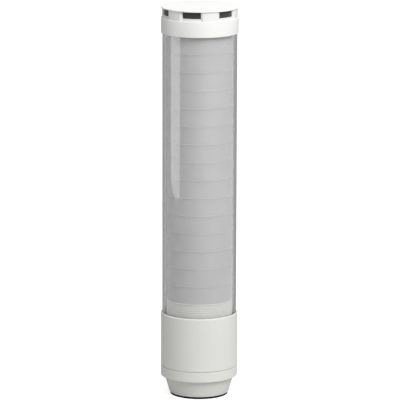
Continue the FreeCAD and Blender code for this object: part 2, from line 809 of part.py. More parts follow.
def slot_for_lead(body, top, depth):
    """The slot that the column's flat lead passes through."""
    sketch = new_sketch(body, "XY_Plane", lift=top)
    add_outline(sketch, box_corners("board_face - lead_slot_fit", "0 - lead_width / 2 - lead_slot_fit",
                                    "board_face + lead_thickness + lead_slot_fit",
                                    "lead_width / 2 + lead_slot_fit"))
    sunk(body, sketch, depth)


def make_lens():
    """Clear outer tube, with a flat seal ring under it and another on it."""
    ring("lower_lens_seal", "lens_bore", "lens_radius", "socket_web_top", "tube_bottom")
    ring("lens_tube", "lens_bore", "lens_radius", "tube_bottom", "tube_top")
    ring("upper_lens_seal", "lens_bore", "lens_radius", "tube_top", "cap_web_bottom")


def make_segment(number):
    """One frosted cup of the column: a wall, a bead at its top edge and a divider across its top."""
    body = profile_body(f"segment_{number:02d}", [
        ("light_hole_radius", "segment_pitch - divider_thickness"),
        ("diffuser_bore", "segment_pitch - divider_thickness"),
        ("diffuser_bore", "rebate_height"),
        ("diffuser_radius - rebate_width", "rebate_height"),
        ("diffuser_radius - rebate_width", "0"),
        ("diffuser_radius", "0"),
        ("diffuser_radius", "segment_pitch - bead_height"),
        ("diffuser_radius + bead_proud", "segment_pitch - bead_height"),
        ("diffuser_radius + bead_proud", "segment_pitch"),
        ("nest_radius", "segment_pitch"),
        ("nest_radius", "segment_pitch + nest_rise"),
        ("nest_radius - nest_wall", "segment_pitch + nest_rise"),
        ("nest_radius - nest_wall", "segment_pitch"),
        ("light_hole_radius", "segment_pitch"),
    ])
    bind(body, "Placement.Base.z", f"collar_top + {number - 1} * segment_pitch")


def post_corner_place(degrees, half):
    """A corner of the post: out along a flat's own direction, then along the flat by half its width."""
    across = f"post_flat_place * cos({degrees} * 1deg) - {half} * sin({degrees} * 1deg)"
    up = f"post_flat_place * sin({degrees} * 1deg) + {half} * cos({degrees} * 1deg)"
    return across, up


def make_light_post():
    """Aluminium post with three wide flats for the boards and a bore for the tie rod."""
    body = new_body("light_post")
    sketch = new_sketch(body, "XY_Plane", lift="socket_web_top")
    flats = [f"({number} * 360 / light_board_count)" for number in range(count("light_board_count"))]
    add_outline(sketch, [post_corner_place(flat, half)
                         for flat in flats for half in ("(0 - post_flat_half)", "post_flat_half")])
    add_circle(sketch, "0", "0", "rod_hole_radius")
    raised(body, sketch, "(dish_bottom - socket_web_top)")


def make_light_board(number):
    """One board on a flat of the post, and its row of LEDs, one for each segment."""
    board = new_body(f"light_board_{number}")
    sketch = new_sketch(board, "XY_Plane", lift="light_board_bottom")
    add_outline(sketch, box_corners("post_flat_place", "0 - light_board_width / 2",
                                    "board_face", "light_board_width / 2"))
    raised(board, sketch, "(light_board_top - light_board_bottom)")

    leds = new_body(f"leds_{number}")
    sketch = new_sketch(leds, "XY_Plane", lift="collar_top + (segment_pitch - led_size) / 2")
    add_outline(sketch, box_corners("board_face", "0 - led_size / 2", "led_face", "led_size / 2"))
    along(leds, raised(leds, sketch, "led_size"), "Z_Axis", "segment_count", "segment_pitch")

    for body in (board, leds):
        body.Placement = FreeCAD.Placement(FreeCAD.Vector(), FreeCAD.Rotation(FreeCAD.Vector(0, 0, 1), 1))
        bind(body, "Placement.Rotation.Angle", f"{number - 1} * 360 / light_board_count")


def make_lead(label, bottom, top):
    """A flat strip lead against the first board, drawn straight."""
    lead = doc.addObject("Part::Box", label)
    lead.Label = label
    bind(lead, "Length", "lead_thickness")
    bind(lead, "Width", "lead_width")
    bind(lead, "Height", f"{top} - ({bottom})")
    bind(lead, "Placement.Base.x", "board_face")
    bind(lead, "Placement.Base.y", "0 - lead_width / 2")
    bind(lead, "Placement.Base.z", bottom)


def make_tie_rod():
    """Threaded rod down the middle, which clamps cap, tube and socket, with a nut and washer at each end."""
    profile_body("tie_rod", [
        ("0", "rod_bottom"),
        ("rod_radius", "rod_bottom"),
        ("rod_radius", "rod_top"),
        ("0", "rod_top"),
    ])
    washers = ring("rod_washers", "rod_radius + thread_fit", "washer_radius",
                   "socket_seat - washer_thickness", "socket_seat")
    along(washers, washers.Tip, "Z_Axis", "2", "dish_floor + washer_thickness - socket_seat")
    nuts = new_body("rod_nuts")
    sketch = new_sketch(nuts, "XY_Plane", lift="socket_seat - washer_thickness - nut_height")
    add_outline(sketch, [on_circle("(nut_flat_half / cos(30 * 1deg))", 60 * corner) for corner in range(6)])
    add_circle(sketch, "0", "0", "rod_radius + thread_fit")
    spacing = "dish_floor - socket_seat + 2 * washer_thickness + nut_height"
    along(nuts, raised(nuts, sketch, "nut_height"), "Z_Axis", "2", spacing)


# ---------------------------------------------------------------- the cap
def window_outline(inner, outer, inner_half, outer_half):
    """Plan of an opening that faces -Y: curved at its back and front, with straight sides between."""
    def place(radius, half, sign):
        across = f"{sign} * ({radius}) * sin({half} * 1deg)"
        return across, f"0 - ({radius}) * cos({half} * 1deg)"
    return [
        place(outer, outer_half, "-1"),
        (*place(outer, outer_half, "1"), outer, -1),
        place(inner, inner_half, "1"),
        (*place(inner, inner_half, "-1"), inner, 1),
    ]


def make_cap_housing():
    """Moulded cap: a collar over the tube, a dished web, and a band with sound outlets open to its top."""
    cap = profile_body("cap_housing", [
        ("rod_hole_radius", "dish_bottom"),
        ("dish_radius + dish_wall", "dish_bottom"),
        ("dish_radius + dish_wall", "cap_web_bottom"),
        ("diffuser_radius - hold_down_wall", "cap_web_bottom"),
        ("diffuser_radius - hold_down_wall", "stack_top + rebate_height"),
        ("diffuser_radius - rebate_width", "stack_top + rebate_height"),
        ("diffuser_radius - rebate_width", "stack_top + hold_down_gap"),
        ("diffuser_radius", "stack_top + hold_down_gap"),
        ("diffuser_radius", "cap_web_bottom"),
        ("tube_seat_radius", "cap_web_bottom"),
        ("tube_seat_radius", "cap_bottom"),
        ("housing_radius - cap_hem_chamfer", "cap_bottom"),
        ("housing_radius", "cap_bottom + cap_hem_chamfer"),
        ("housing_radius", "cap_shoulder - cap_edge_radius"),
        ("housing_radius - cap_edge_radius", "cap_shoulder", "cap_edge_radius", -1),
        ("band_radius", "cap_shoulder"),
        ("band_radius", "band_top"),
        ("band_bore", "band_top"),
        ("band_bore", "cap_web_top"),
        ("dish_radius", "cap_web_top"),
        ("dish_radius", "dish_floor"),
        ("rod_hole_radius", "dish_floor"),
    ])
    bosses(cap, "sounder_boss_radius", *on_circle("sounder_boss_circle", "90"),
           "cap_web_top", "sounder_boss_height", "sounder_boss_count", "board_thickness")
    flare = "(2 * pocket_half_span - window_half_span)"
    pocket = new_sketch(cap, "XY_Plane", lift="band_top")
    add_outline(pocket, window_outline("pocket_radius", "(2 * band_radius - pocket_radius)",
                                       "window_half_span", flare))
    around(cap, sunk(cap, pocket, "band_height"), "window_count")
    opening = new_sketch(cap, "XY_Plane", lift="band_top")
    add_outline(opening, window_outline("(band_bore - mesh_thickness)", "(pocket_radius + mesh_thickness)",
                                        "window_half_span", "window_half_span"))
    around(cap, sunk(cap, opening, "(band_height - sill_height)"), "window_count")
    slot_for_lead(cap, "dish_floor", "cap_web_thickness")


def make_cap_lid():
    """Thin disc that overhangs the outlets, with a ring below that centres it inside the mesh."""
    profile_body("cap_lid", [
        ("0", "band_top"),
        ("lid_ring_radius - lid_ring_wall", "band_top"),
        ("lid_ring_radius - lid_ring_wall", "band_top - lid_ring_height"),
        ("lid_ring_radius", "band_top - lid_ring_height"),
        ("lid_ring_radius", "band_top"),
        ("lid_radius", "band_top"),
        ("lid_radius", "band_top + lid_thickness - lid_edge_chamfer"),
        ("lid_radius - lid_edge_chamfer", "band_top + lid_thickness"),
        ("0", "band_top + lid_thickness"),
    ])


def make_sounder():
    """Board on the cap's bosses, with a round sounder case and the thin brass disc that it shuts in."""
    board = profile_body("sounder_board", [
        ("0", "sounder_board_bottom"),
        ("sounder_board_radius", "sounder_board_bottom"),
        ("sounder_board_radius", "sounder_board_top"),
        ("0", "sounder_board_top"),
    ])
    holes(board, "screw_hole_radius", *on_circle("sounder_boss_circle", "90"),
          "sounder_board_top", "board_thickness", "sounder_boss_count")
    case_top = "sounder_board_top + sounder_case_height"
    case_bore = "sounder_case_radius - sounder_case_wall"
    profile_body("sounder_case", [
        (case_bore, "sounder_board_top"),
        ("sounder_case_radius", "sounder_board_top"),
        ("sounder_case_radius", case_top),
        ("sounder_hole_radius", case_top),
        ("sounder_hole_radius", f"{case_top} - sounder_case_wall"),
        (case_bore, f"{case_top} - sounder_case_wall"),
    ])
    disc_bottom = "sounder_board_top + sounder_disc_rise"
    profile_body("sounder_disc", [
        ("0", disc_bottom),
        (f"{case_bore} - slip_fit", disc_bottom),
        (f"{case_bore} - slip_fit", f"{disc_bottom} + sounder_disc_thickness"),
        ("0", f"{disc_bottom} + sounder_disc_thickness"),
    ])


# ---------------------------------------------------------------- build, check and write
make_gasket()
make_foot()
make_foot_plate()
make_rim_seal()
make_bayonet_ring()
make_contact_carrier()
make_contact_pads()
make_terminal_block()
make_clamp_screws()
screws("carrier_screws", "pillar_place", "carrier_top", "2", "0")

make_base_housing()
make_contact_springs()
make_control_board()
make_board_parts()
screws("board_screws", "board_boss_circle", "board_top", "board_boss_count", "90")

make_lens_socket()
screws("socket_screws", "socket_post_circle", "socket_web_top", "socket_post_count", "30")
make_lens()
for segment_number in range(1, count("segment_count") + 1):
    make_segment(segment_number)
make_light_post()
for board_number in range(1, count("light_board_count") + 1):
    make_light_board(board_number)
make_lead("column_lead", "plug_top", "light_board_bottom + lead_lap")
make_lead("sounder_lead", "light_board_top - lead_lap", "sounder_board_bottom")
make_tie_rod()

make_cap_housing()
ring("acoustic_mesh", "mesh_bore", "mesh_radius", "cap_web_top", "band_top")
make_cap_lid()
make_sounder()
screws("sounder_screws", "sounder_boss_circle", "sounder_board_top", "sounder_boss_count", "90")

doc.recompute()

subparts = [thing for thing in doc.Objects if thing.TypeId in ("PartDesign::Body", "Part::Box")]
for thing in doc.Objects:
    if "Invalid" in thing.State or "Error" in thing.State:
        raise RuntimeError(f"{thing.Label} did not build")
for thing in subparts:
    if thing.Shape.isNull() or not thing.Shape.isValid():
        raise RuntimeError(f"{thing.Label} has no valid shape")
for thing in subparts:
    thing.Shape.exportStep(f"parts/{thing.Label}.step")
print(len(subparts), "sub-parts written")
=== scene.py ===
# %% [markdown]
# # A signal tower light on a photographer's table
#
# The object is a column light for a machine: a foot, a drum for the electronics, a clear tube round a
# stack of frosted cups, and a white cap with a sounder under its lid. Its solids come from a CAD model.
# Here we give each one the surface that the eye expects. Nearly every piece is round, so the whole lesson
# turns on one idea: an outline carried round an axis.

import bmesh
import bpy
import numpy as np
from mathutils import Matrix, Vector


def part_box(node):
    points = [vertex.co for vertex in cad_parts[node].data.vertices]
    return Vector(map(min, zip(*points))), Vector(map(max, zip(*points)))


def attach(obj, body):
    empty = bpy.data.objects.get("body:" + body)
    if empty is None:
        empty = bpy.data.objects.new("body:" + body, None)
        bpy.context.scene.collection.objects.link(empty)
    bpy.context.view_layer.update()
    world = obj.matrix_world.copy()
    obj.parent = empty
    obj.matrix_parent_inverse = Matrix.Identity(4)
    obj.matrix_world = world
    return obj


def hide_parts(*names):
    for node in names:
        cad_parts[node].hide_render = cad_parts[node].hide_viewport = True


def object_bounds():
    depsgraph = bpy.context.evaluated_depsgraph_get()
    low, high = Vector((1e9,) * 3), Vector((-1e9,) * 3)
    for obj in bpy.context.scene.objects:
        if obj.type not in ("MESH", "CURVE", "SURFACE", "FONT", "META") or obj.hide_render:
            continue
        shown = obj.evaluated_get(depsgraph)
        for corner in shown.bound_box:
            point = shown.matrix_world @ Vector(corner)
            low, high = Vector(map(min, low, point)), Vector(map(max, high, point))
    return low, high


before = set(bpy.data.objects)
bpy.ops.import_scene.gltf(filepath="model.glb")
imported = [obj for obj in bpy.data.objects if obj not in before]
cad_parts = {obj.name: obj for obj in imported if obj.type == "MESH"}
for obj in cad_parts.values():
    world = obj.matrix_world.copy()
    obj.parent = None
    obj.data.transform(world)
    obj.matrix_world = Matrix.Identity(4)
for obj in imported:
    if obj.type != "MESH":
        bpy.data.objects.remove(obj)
cad_low, cad_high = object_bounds()
print(f"the frame has {len(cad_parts)} nodes and is {cad_high.z - cad_low.z:.4f} m tall")

# %% [markdown]
# ## Sizes
#
# A piece that replaces a solid has to be where the solid is. So the main sizes are read from the boxes of
# the solids, and only what a box can't tell, such as a wall or a small step, is written down. One
# millimetre is a named value, which keeps the numbers below in the unit that a maker would use.

# %% Sizes read from the frame
mm = 0.001
tau = 2 * np.pi


def span(node):
    """Radius, bottom and top of a round solid, from its box."""
    low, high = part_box(node)
    return high.x, low.z, high.z


housing_radius, drum_bottom, drum_top = span("base_housing")
foot_bottom, foot_top = span("mounting_foot")[1:]
lens_radius, lens_bottom, lens_top = span("lens_tube")
socket_bottom, socket_top = span("lens_socket")[1:]
cap_bottom, band_top = span("cap_housing")[1:]
lid_radius, lid_bottom, lid_top = span("cap_lid")
mesh_radius, mesh_bottom, mesh_top = span("acoustic_mesh")
print(f"housing radius {housing_radius / mm:.1f} mm, tube {(lens_top - lens_bottom) / mm:.1f} mm long")

# %% Walls and steps that a box can't tell
housing_bore = 32.4 * mm
tube_seat = 33.9 * mm
lens_bore = 31.8 * mm
diffuser_radius = 30.0 * mm
diffuser_bore = 28.4 * mm
nest_radius = 29.1 * mm
nest_wall = 0.8 * mm
nest_rise = 1.0 * mm
segment_pitch = 16.4 * mm
rod_hole = 2.7 * mm
print(f"the tube's wall is {(lens_radius - lens_bore) / mm:.1f} mm thick")

# %% [markdown]
# ## An outline and its corners
#
# A moulded edge is never sharp: it has a radius, and that radius is what catches the light. One way to get
# it is a Bevel modifier. Here the radius goes into the outline itself, because then each corner can have
# its own. Every corner becomes a short quadratic curve, with one more point on each side of it. Those
# holding points keep smooth shading from bending the flat faces.

# %% Rounded outlines
def rounded(corners, steps=3):
    """Points of a closed outline whose corners are (across, up, rounding).

    A corner c becomes the curve (1 - t)^2 a + 2 t (1 - t) c + t^2 b for t from 0 to 1, where a and b lie one
    rounding away from c along its two sides. The holding points lie 1.7 roundings away. Beside a short side
    the rounding is cut to 0.28 of that side, so that two corners never meet.
    """
    corners = np.array(corners, dtype=float)
    corner, size = corners[:, None, :2], corners[:, None, 2:]

    def side(shift):
        away = np.roll(corner, shift, axis=0) - corner
        length = np.linalg.norm(away, axis=2, keepdims=True)
        return away / length, length

    back, back_length = side(1)
    ahead, ahead_length = side(-1)
    reach = np.minimum(size, 0.28 * np.minimum(back_length, ahead_length))
    t = np.linspace(0, 1, steps + 1)[None, :, None]
    start, end = corner + back * reach, corner + ahead * reach
    curve = (1 - t) ** 2 * start + 2 * t * (1 - t) * corner + t ** 2 * end
    held = [corner + back * 1.7 * reach, curve, corner + ahead * 1.7 * reach]
    return np.concatenate(held, axis=1).reshape(-1, 2)


square = rounded([(0, 0, 0.1), (1, 0, 0.1), (1, 1, 0.1), (0, 1, 0.1)])
print(f"a square with rounded corners has {len(square)} points")

# %% [markdown]
# ## Carrying an outline round
#
# The grid has one row for each angle and one column for each point of the outline. Both directions close on
# themselves, so the faces join each point to the next in its row and in its column, and the last to the
# first. Where an outline touches the axis, a whole ring of points falls on one place: merging them closes
# the pole. Blender then turns all the faces outwards, and the volume tells whether that worked.

# %% Grids and shells
merge_within = 0.0002 * mm


def turned(outline, turns=192):
    """An outline of (r, z) carried round Z: at the angle a, point (r, z) goes to (r sin a, -r cos a, z)."""
    angle = np.linspace(0, tau, turns, endpoint=False)[:, None]
    across, up = outline[None, :, 0], outline[None, :, 1]
    x, y = across * np.sin(angle), -across * np.cos(angle)
    return np.stack([x, y, np.broadcast_to(up, x.shape)], axis=2)


def grid_faces(rows, columns):
    """Four corners for each cell of a grid that closes in both directions."""
    here = np.arange(rows * columns).reshape(rows, columns)
    beside = np.roll(here, -1, axis=1)
    next_row, next_beside = np.roll(here, -1, axis=0), np.roll(beside, -1, axis=0)
    return np.stack([here, beside, next_beside, next_row], axis=2).reshape(-1, 4)


def shell(name, grid):
    """One smooth object from a closed grid: doubles merged, no loose edge on the axis, normals outwards."""
    mesh = bpy.data.meshes.new(name)
    mesh.from_pydata(grid.reshape(-1, 3), [], grid_faces(*grid.shape[:2]))
    work = bmesh.new()
    work.from_mesh(mesh)
    bmesh.ops.remove_doubles(work, verts=work.verts, dist=merge_within)
    on_axis = [edge for edge in work.edges if edge.is_wire]
    bmesh.ops.delete(work, geom=on_axis, context="EDGES")
    bmesh.ops.recalc_face_normals(work, faces=work.faces)
    volume = work.calc_volume(signed=True)
    open_edges = sum(not edge.is_manifold for edge in work.edges)
    work.to_mesh(mesh)
    work.free()
    mesh.shade_smooth()
    piece = bpy.data.objects.new(name, mesh)
    bpy.context.scene.collection.objects.link(piece)
    print(f"{name}: {len(mesh.polygons)} faces, {volume * 1e6:.2f} cm3, {open_edges} open edges")
    return piece


print(f"a ring of 8 rows and 5 columns has {len(grid_faces(8, 5))} faces")

# %% [markdown]
# ## Prisms and joins
#
# A screw hole or a post has upright walls and stands off the axis, so it can't be turned. It starts as a
# flat plan of points, and a prism gives it height. A Boolean modifier then unites it with a turned moulding
# or takes it away, and the result is kept as a plain mesh. The printed count of open edges has to stay at
# nought. A hole's corner that falls right on a line of the grid can leave a gap, so the holes in the
# collar have twenty-six sides and not twenty-four.

# %% Plans
def arc(radius, start, end, steps, centre=(0, 0)):
    """Points of an arc in plan, at (R cos a, R sin a) from its centre."""
    angle = np.linspace(start, end, steps)
    return np.stack([centre[0] + radius * np.cos(angle), centre[1] + radius * np.sin(angle)], axis=1)


def around(radius, first, copies):
    """Places spread evenly on a circle, the first at an angle from +X."""
    return arc(radius, first, first + tau, copies + 1)[:-1]


def disc(centre, radius, steps=40):
    """A round plan about a centre."""
    return arc(radius, 0, tau, steps + 1, centre)[:-1]


def slab(left, front, right, back):
    """A plan with four corners."""
    return np.array([(left, front), (right, front), (right, back), (left, back)])


print(f"a round plan has {len(disc((0, 0), mm))} corners and a slab {len(slab(0, 0, mm, mm))}")

# %% Prisms and joins
def prism(plan, low, high):
    """A solid with an upright wall over a plan: two flat ends, and a face for each side of the plan."""
    count = len(plan)
    points = np.concatenate([np.column_stack([plan, np.full(count, up)]) for up in (low, high)])
    here = np.arange(count)
    beside = np.roll(here, -1)
    sides = np.stack([here, beside, beside + count, here + count], axis=1).tolist()
    mesh = bpy.data.meshes.new("prism")
    mesh.from_pydata(points, [], [here[::-1].tolist(), (here + count).tolist(), *sides])
    tool = bpy.data.objects.new("prism", mesh)
    bpy.context.scene.collection.objects.link(tool)
    return tool


def joined(piece, operation, tools):
    """The piece with each tool united to it or taken from it, and the tools thrown away."""
    for tool in tools:
        step = piece.modifiers.new("step", "BOOLEAN")
        step.operation, step.solver, step.object = operation, "EXACT", tool
    whole = bpy.data.meshes.new_from_object(piece.evaluated_get(bpy.context.evaluated_depsgraph_get()))
    whole.name = piece.data.name
    piece.modifiers.clear()
    piece.data = whole
    for tool in tools:
        bpy.data.objects.remove(tool)
    work = bmesh.new()
    work.from_mesh(whole)
    bmesh.ops.remove_doubles(work, verts=work.verts, dist=merge_within)
    open_edges = sum(not edge.is_manifold for edge in work.edges)
    print(f"{piece.name}: {operation.lower()} with {len(tools)} tools, "
          f"{work.calc_volume(signed=True) * 1e6:.2f} cm3, {open_edges} open edges")
    work.to_mesh(whole)
    work.free()


# %% Placing a piece
def place(piece, body, material, node):
    """The piece takes its finish, rides on its body and stands for its solid."""
    piece.data.materials.clear()
    piece.data.materials.append(material)
    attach(piece, body)
    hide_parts(node)


print(f"{len(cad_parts)} solids wait for a piece or a finish")

# %% [markdown]
# ## Node materials
#
# Real plastic isn't one flat colour. Its pigment clouds a little, its gloss breaks up, and spark erosion
# in the mould leaves a fine grain. All three are noise at different scales, read in Object coordinates, so
# that nothing stretches over a seam. An image would need an unwrapped mesh and would blur close up, which
# noise never does. The helpers below only make nodes and join them.

# %% Nodes and coordinates
def new_material(name):
    """A material with an empty Principled shader, and its node tree."""
    material = bpy.data.materials.new(name)
    material.use_nodes = True
    return material, material.node_tree, material.node_tree.nodes["Principled BSDF"]


def set_inputs(node, **values):
    """Sets a node's sockets by name, where an underscore stands for a space."""
    for key, value in values.items():
        node.inputs[key.replace("_", " ")].default_value = value


def add_node(tree, kind, **properties):
    """A new node with some of its properties set."""
    node = tree.nodes.new(kind)
    for key, value in properties.items():
        setattr(node, key, value)
    return node


def object_place(tree, scale=(1, 1, 1)):
    """Object coordinates, in metres, stretched by a Mapping node."""
    source = add_node(tree, "ShaderNodeTexCoord")
    mapping = add_node(tree, "ShaderNodeMapping")
    mapping.inputs["Scale"].default_value = scale
    tree.links.new(source.outputs["Object"], mapping.inputs["Vector"])
    return mapping.outputs["Vector"]


print("helpers for nodes:", new_material.__name__, set_inputs.__name__, add_node.__name__)

# %% Noise, shades and bumps
noise_low, noise_high = 0.3, 0.7


def noise(tree, where, size, detail=3.0):
    """Noise whose lumps are about size metres across."""
    node = add_node(tree, "ShaderNodeTexNoise")
    set_inputs(node, Scale=1 / size, Detail=detail)
    tree.links.new(where, node.inputs["Vector"])
    return node.outputs["Fac"]


def ranged(tree, value, low, high):
    """Noise sits around a half. This spreads its middle over the range from low to high."""
    node = add_node(tree, "ShaderNodeMapRange")
    set_inputs(node, From_Min=noise_low, From_Max=noise_high, To_Min=low, To_Max=high)
    tree.links.new(value, node.inputs["Value"])
    return node.outputs["Result"]


def shades(tree, value, low_colour, high_colour):
    """A ramp from one colour to the other, over the middle of a noise."""
    ramp = add_node(tree, "ShaderNodeValToRGB")
    stops = ramp.color_ramp.elements
    stops[0].position, stops[1].position = noise_low, noise_high
    stops[0].color, stops[1].color = (*low_colour, 1), (*high_colour, 1)
    tree.links.new(value, ramp.inputs["Fac"])
    return ramp.outputs["Color"]


def bumped(tree, shader, height, depth):
    """A bump of the given depth in metres on the shader's normal."""
    node = add_node(tree, "ShaderNodeBump")
    set_inputs(node, Strength=1.0, Distance=depth)
    tree.links.new(height, node.inputs["Height"])
    tree.links.new(node.outputs["Normal"], shader.inputs["Normal"])


print(f"the middle of a noise, {noise_low} to {noise_high}, is what colours and gloss are spread over")

# %% [markdown]
# ## Satin housing plastic
#
# The drum, the foot and the collar under the tube are one warm light grey. The cap is a whiter grade of the
# same resin, so both come from one function. The colour drifts by about two parts in a hundred over a few
# centimetres, the gloss varies over half a centimetre, and the grain of the mould is a quarter of a
# millimetre wide. A grain much deeper than two hundredths of a millimetre would look like leather.

# %% Plastic for the housings
def housing_plastic(name, light, dark, gloss_low, gloss_high, grain_depth):
    """Moulded plastic: clouded colour, uneven gloss and a fine grain, each a noise of its own size."""
    material, tree, shader = new_material(name)
    where = object_place(tree)
    colour = shades(tree, noise(tree, where, 35 * mm), dark, light)
    tree.links.new(colour, shader.inputs["Base Color"])
    gloss = ranged(tree, noise(tree, where, 5 * mm), gloss_low, gloss_high)
    tree.links.new(gloss, shader.inputs["Roughness"])
    bumped(tree, shader, noise(tree, where, 0.25 * mm, 2.0), grain_depth)
    set_inputs(shader, IOR=1.49, Specular_IOR_Level=0.5)
    return material


base_light, base_dark = (0.690, 0.694, 0.658), (0.674, 0.678, 0.642)
cap_light, cap_dark = (0.780, 0.782, 0.767), (0.766, 0.768, 0.753)
base_plastic = housing_plastic("warm_grey_satin", base_light, base_dark, 0.40, 0.48, 0.006 * mm)
cap_plastic = housing_plastic("white_satin", cap_light, cap_dark, 0.38, 0.46, 0.005 * mm)
print("housing plastics:", base_plastic.name, cap_plastic.name)

# %% [markdown]
# ## Clear tube and frosted cups
#
# The tube is extruded polycarbonate. Its colour comes from what is behind it, so the shader is nearly all
# transmission, with the long soft draw lines that an extruder leaves. A path tracer can't send light from a
# lamp straight through glass, so for shadow rays, and for light that has been scattered inside, the wall
# counts as plain transparent. The cups are loaded with a white powder that spreads the light of the diodes,
# and look mid grey while those are off. The powder also lets light creep about a millimetre sideways, which
# softens the shade under each bead.

# %% Clear polycarbonate
poly_ior = 1.58
clear_tint = (0.93, 0.93, 0.93, 1)


def clear_polycarbonate():
    """Glass to look at, plain transparent for shadow rays and for light that has been scattered."""
    material, tree, shader = new_material("clear_polycarbonate")
    set_inputs(shader, Base_Color=clear_tint, Transmission_Weight=1.0, IOR=poly_ior)
    where = object_place(tree, (1, 1, 0.04))
    tree.links.new(ranged(tree, noise(tree, where, 3 * mm), 0.02, 0.05), shader.inputs["Roughness"])
    bumped(tree, shader, noise(tree, where, 6 * mm, 1.0), 0.002 * mm)
    path = add_node(tree, "ShaderNodeLightPath")
    either = add_node(tree, "ShaderNodeMath", operation="MAXIMUM")
    tree.links.new(path.outputs["Is Shadow Ray"], either.inputs[0])
    tree.links.new(path.outputs["Is Diffuse Ray"], either.inputs[1])
    open_air = add_node(tree, "ShaderNodeBsdfTransparent")
    set_inputs(open_air, Color=clear_tint)
    mix = add_node(tree, "ShaderNodeMixShader")
    tree.links.new(either.outputs["Value"], mix.inputs["Fac"])
    tree.links.new(shader.outputs["BSDF"], mix.inputs[1])
    tree.links.new(open_air.outputs["BSDF"], mix.inputs[2])
    tree.links.new(mix.outputs["Shader"], tree.nodes["Material Output"].inputs["Surface"])
    return material


clear_lens = clear_polycarbonate()
print("clear plastic:", clear_lens.name)

# %% Frosted polycarbonate
def frosted_polycarbonate():
    """Cloudy grey plastic, its colour painted a tenth lighter towards the cap: painted light from above."""
    material, tree, shader = new_material("frosted_polycarbonate")
    where = object_place(tree)
    cloud = shades(tree, noise(tree, where, 18 * mm), (0.502,) * 3, (0.530,) * 3)
    # Painted light: the base colour is scaled from 0.95 at the collar to 1.06 under the cap, so the top of
    # the column looks better lit.
    axes = add_node(tree, "ShaderNodeSeparateXYZ")
    tree.links.new(where, axes.inputs["Vector"])
    rise = add_node(tree, "ShaderNodeMapRange")
    set_inputs(rise, From_Min=socket_top, From_Max=cap_bottom, To_Min=0.95, To_Max=1.06)
    tree.links.new(axes.outputs["Z"], rise.inputs["Value"])
    painted_light_gradient = add_node(tree, "ShaderNodeVectorMath", operation="SCALE")
    tree.links.new(cloud, painted_light_gradient.inputs[0])
    tree.links.new(rise.outputs["Result"], painted_light_gradient.inputs["Scale"])
    tree.links.new(painted_light_gradient.outputs["Vector"], shader.inputs["Base Color"])
    tree.links.new(ranged(tree, noise(tree, where, 4 * mm), 0.48, 0.58), shader.inputs["Roughness"])
    bumped(tree, shader, noise(tree, where, 0.3 * mm, 2.0), 0.006 * mm)
    set_inputs(shader, IOR=poly_ior, Specular_IOR_Level=0.35, Subsurface_Weight=0.3, Subsurface_Scale=mm,
               Subsurface_Radius=(1, 1, 1))
    return material


frosted_diffuser = frosted_polycarbonate()
print("frosted plastic:", frosted_diffuser.name)

# %% [markdown]
# ## The foot
#
# The foot is one moulding: a cone that leans out, and above it a short upright flange that meets the drum.
# The flange overhangs the cone by three millimetres, and its shade on the cone is the dark line between
# them. It could be stacked from a cone and some rings, but then each joint would need mending. One outline
# gives all of it, with the lip and the shelf inside that carry other parts.

# %% Foot
cone_low_radius, cone_high_radius = 27.15 * mm, 31.8 * mm
flange_low = foot_top - 9.45 * mm
shelf_height = flange_low + 2.6 * mm
spigot_bore, cavity_radius = 27.2 * mm, 29.2 * mm
lip_bore, lip_top, plate_seat_radius = 23.15 * mm, foot_bottom + 1.5 * mm, 25.0 * mm
groove_low, groove_in, groove_out = foot_top - 0.8 * mm, 32.75 * mm, 33.85 * mm
foot_outline = rounded([
    (lip_bore, foot_bottom, 0.2 * mm),
    (cone_low_radius, foot_bottom, 0.3 * mm),
    (cone_high_radius, flange_low, 0.2 * mm),
    (housing_radius, flange_low, 0.5 * mm),
    (housing_radius, foot_top, 0.35 * mm),
    (groove_out, foot_top, 0.1 * mm),
    (groove_out, groove_low, 0.05 * mm),
    (groove_in, groove_low, 0.05 * mm),
    (groove_in, foot_top, 0.1 * mm),
    (housing_bore, foot_top, 0.1 * mm),
    (housing_bore, shelf_height, 0.2 * mm),
    (spigot_bore, shelf_height, 0.3 * mm),
    (spigot_bore, flange_low, 0.3 * mm),
    (cavity_radius, flange_low, 0.3 * mm),
    (plate_seat_radius, lip_top, 0.1 * mm),
    (lip_bore, lip_top, 0.2 * mm),
])
foot = shell("foot_moulding", turned(foot_outline))
place(foot, "mount", base_plastic, "mounting_foot")

# %% [markdown]
# ## The drum
#
# The drum turns on the foot, so the two never touch outside: a groove half a millimetre high and nearly a
# millimetre deep runs round between them, and the eye reads it as a fine grey line. The top edge has a
# small chamfer that shows as a pale ring under the tube. Inside, a web crosses the drum, with posts for the
# electronics board and for the collar, and three lugs below it that hook under the bayonet ring. All that
# goes round is one outline again, and what stands off the axis is joined to it.

# %% Drum
seam_top, seam_in, rim_chamfer = drum_bottom + 0.5 * mm, 0.8 * mm, 0.8 * mm
web_low = drum_bottom + 12.5 * mm
web_high = web_low + 2.5 * mm
drum_outline = rounded([
    (0.0, web_low, 0.0),
    (housing_bore, web_low, 0.5 * mm),
    (housing_bore, drum_bottom, 0.1 * mm),
    (housing_radius - seam_in, drum_bottom, 0.1 * mm),
    (housing_radius - seam_in, seam_top, 0.1 * mm),
    (housing_radius, seam_top, 0.2 * mm),
    (housing_radius, drum_top - rim_chamfer, 0.2 * mm),
    (housing_radius - rim_chamfer, drum_top, 0.15 * mm),
    (tube_seat, drum_top, 0.15 * mm),
    (tube_seat, socket_bottom, 0.1 * mm),
    (housing_bore, socket_bottom, 0.2 * mm),
    (housing_bore, web_high, 0.5 * mm),
    (0.0, web_high, 0.0),
])
drum = shell("drum_moulding", turned(drum_outline))

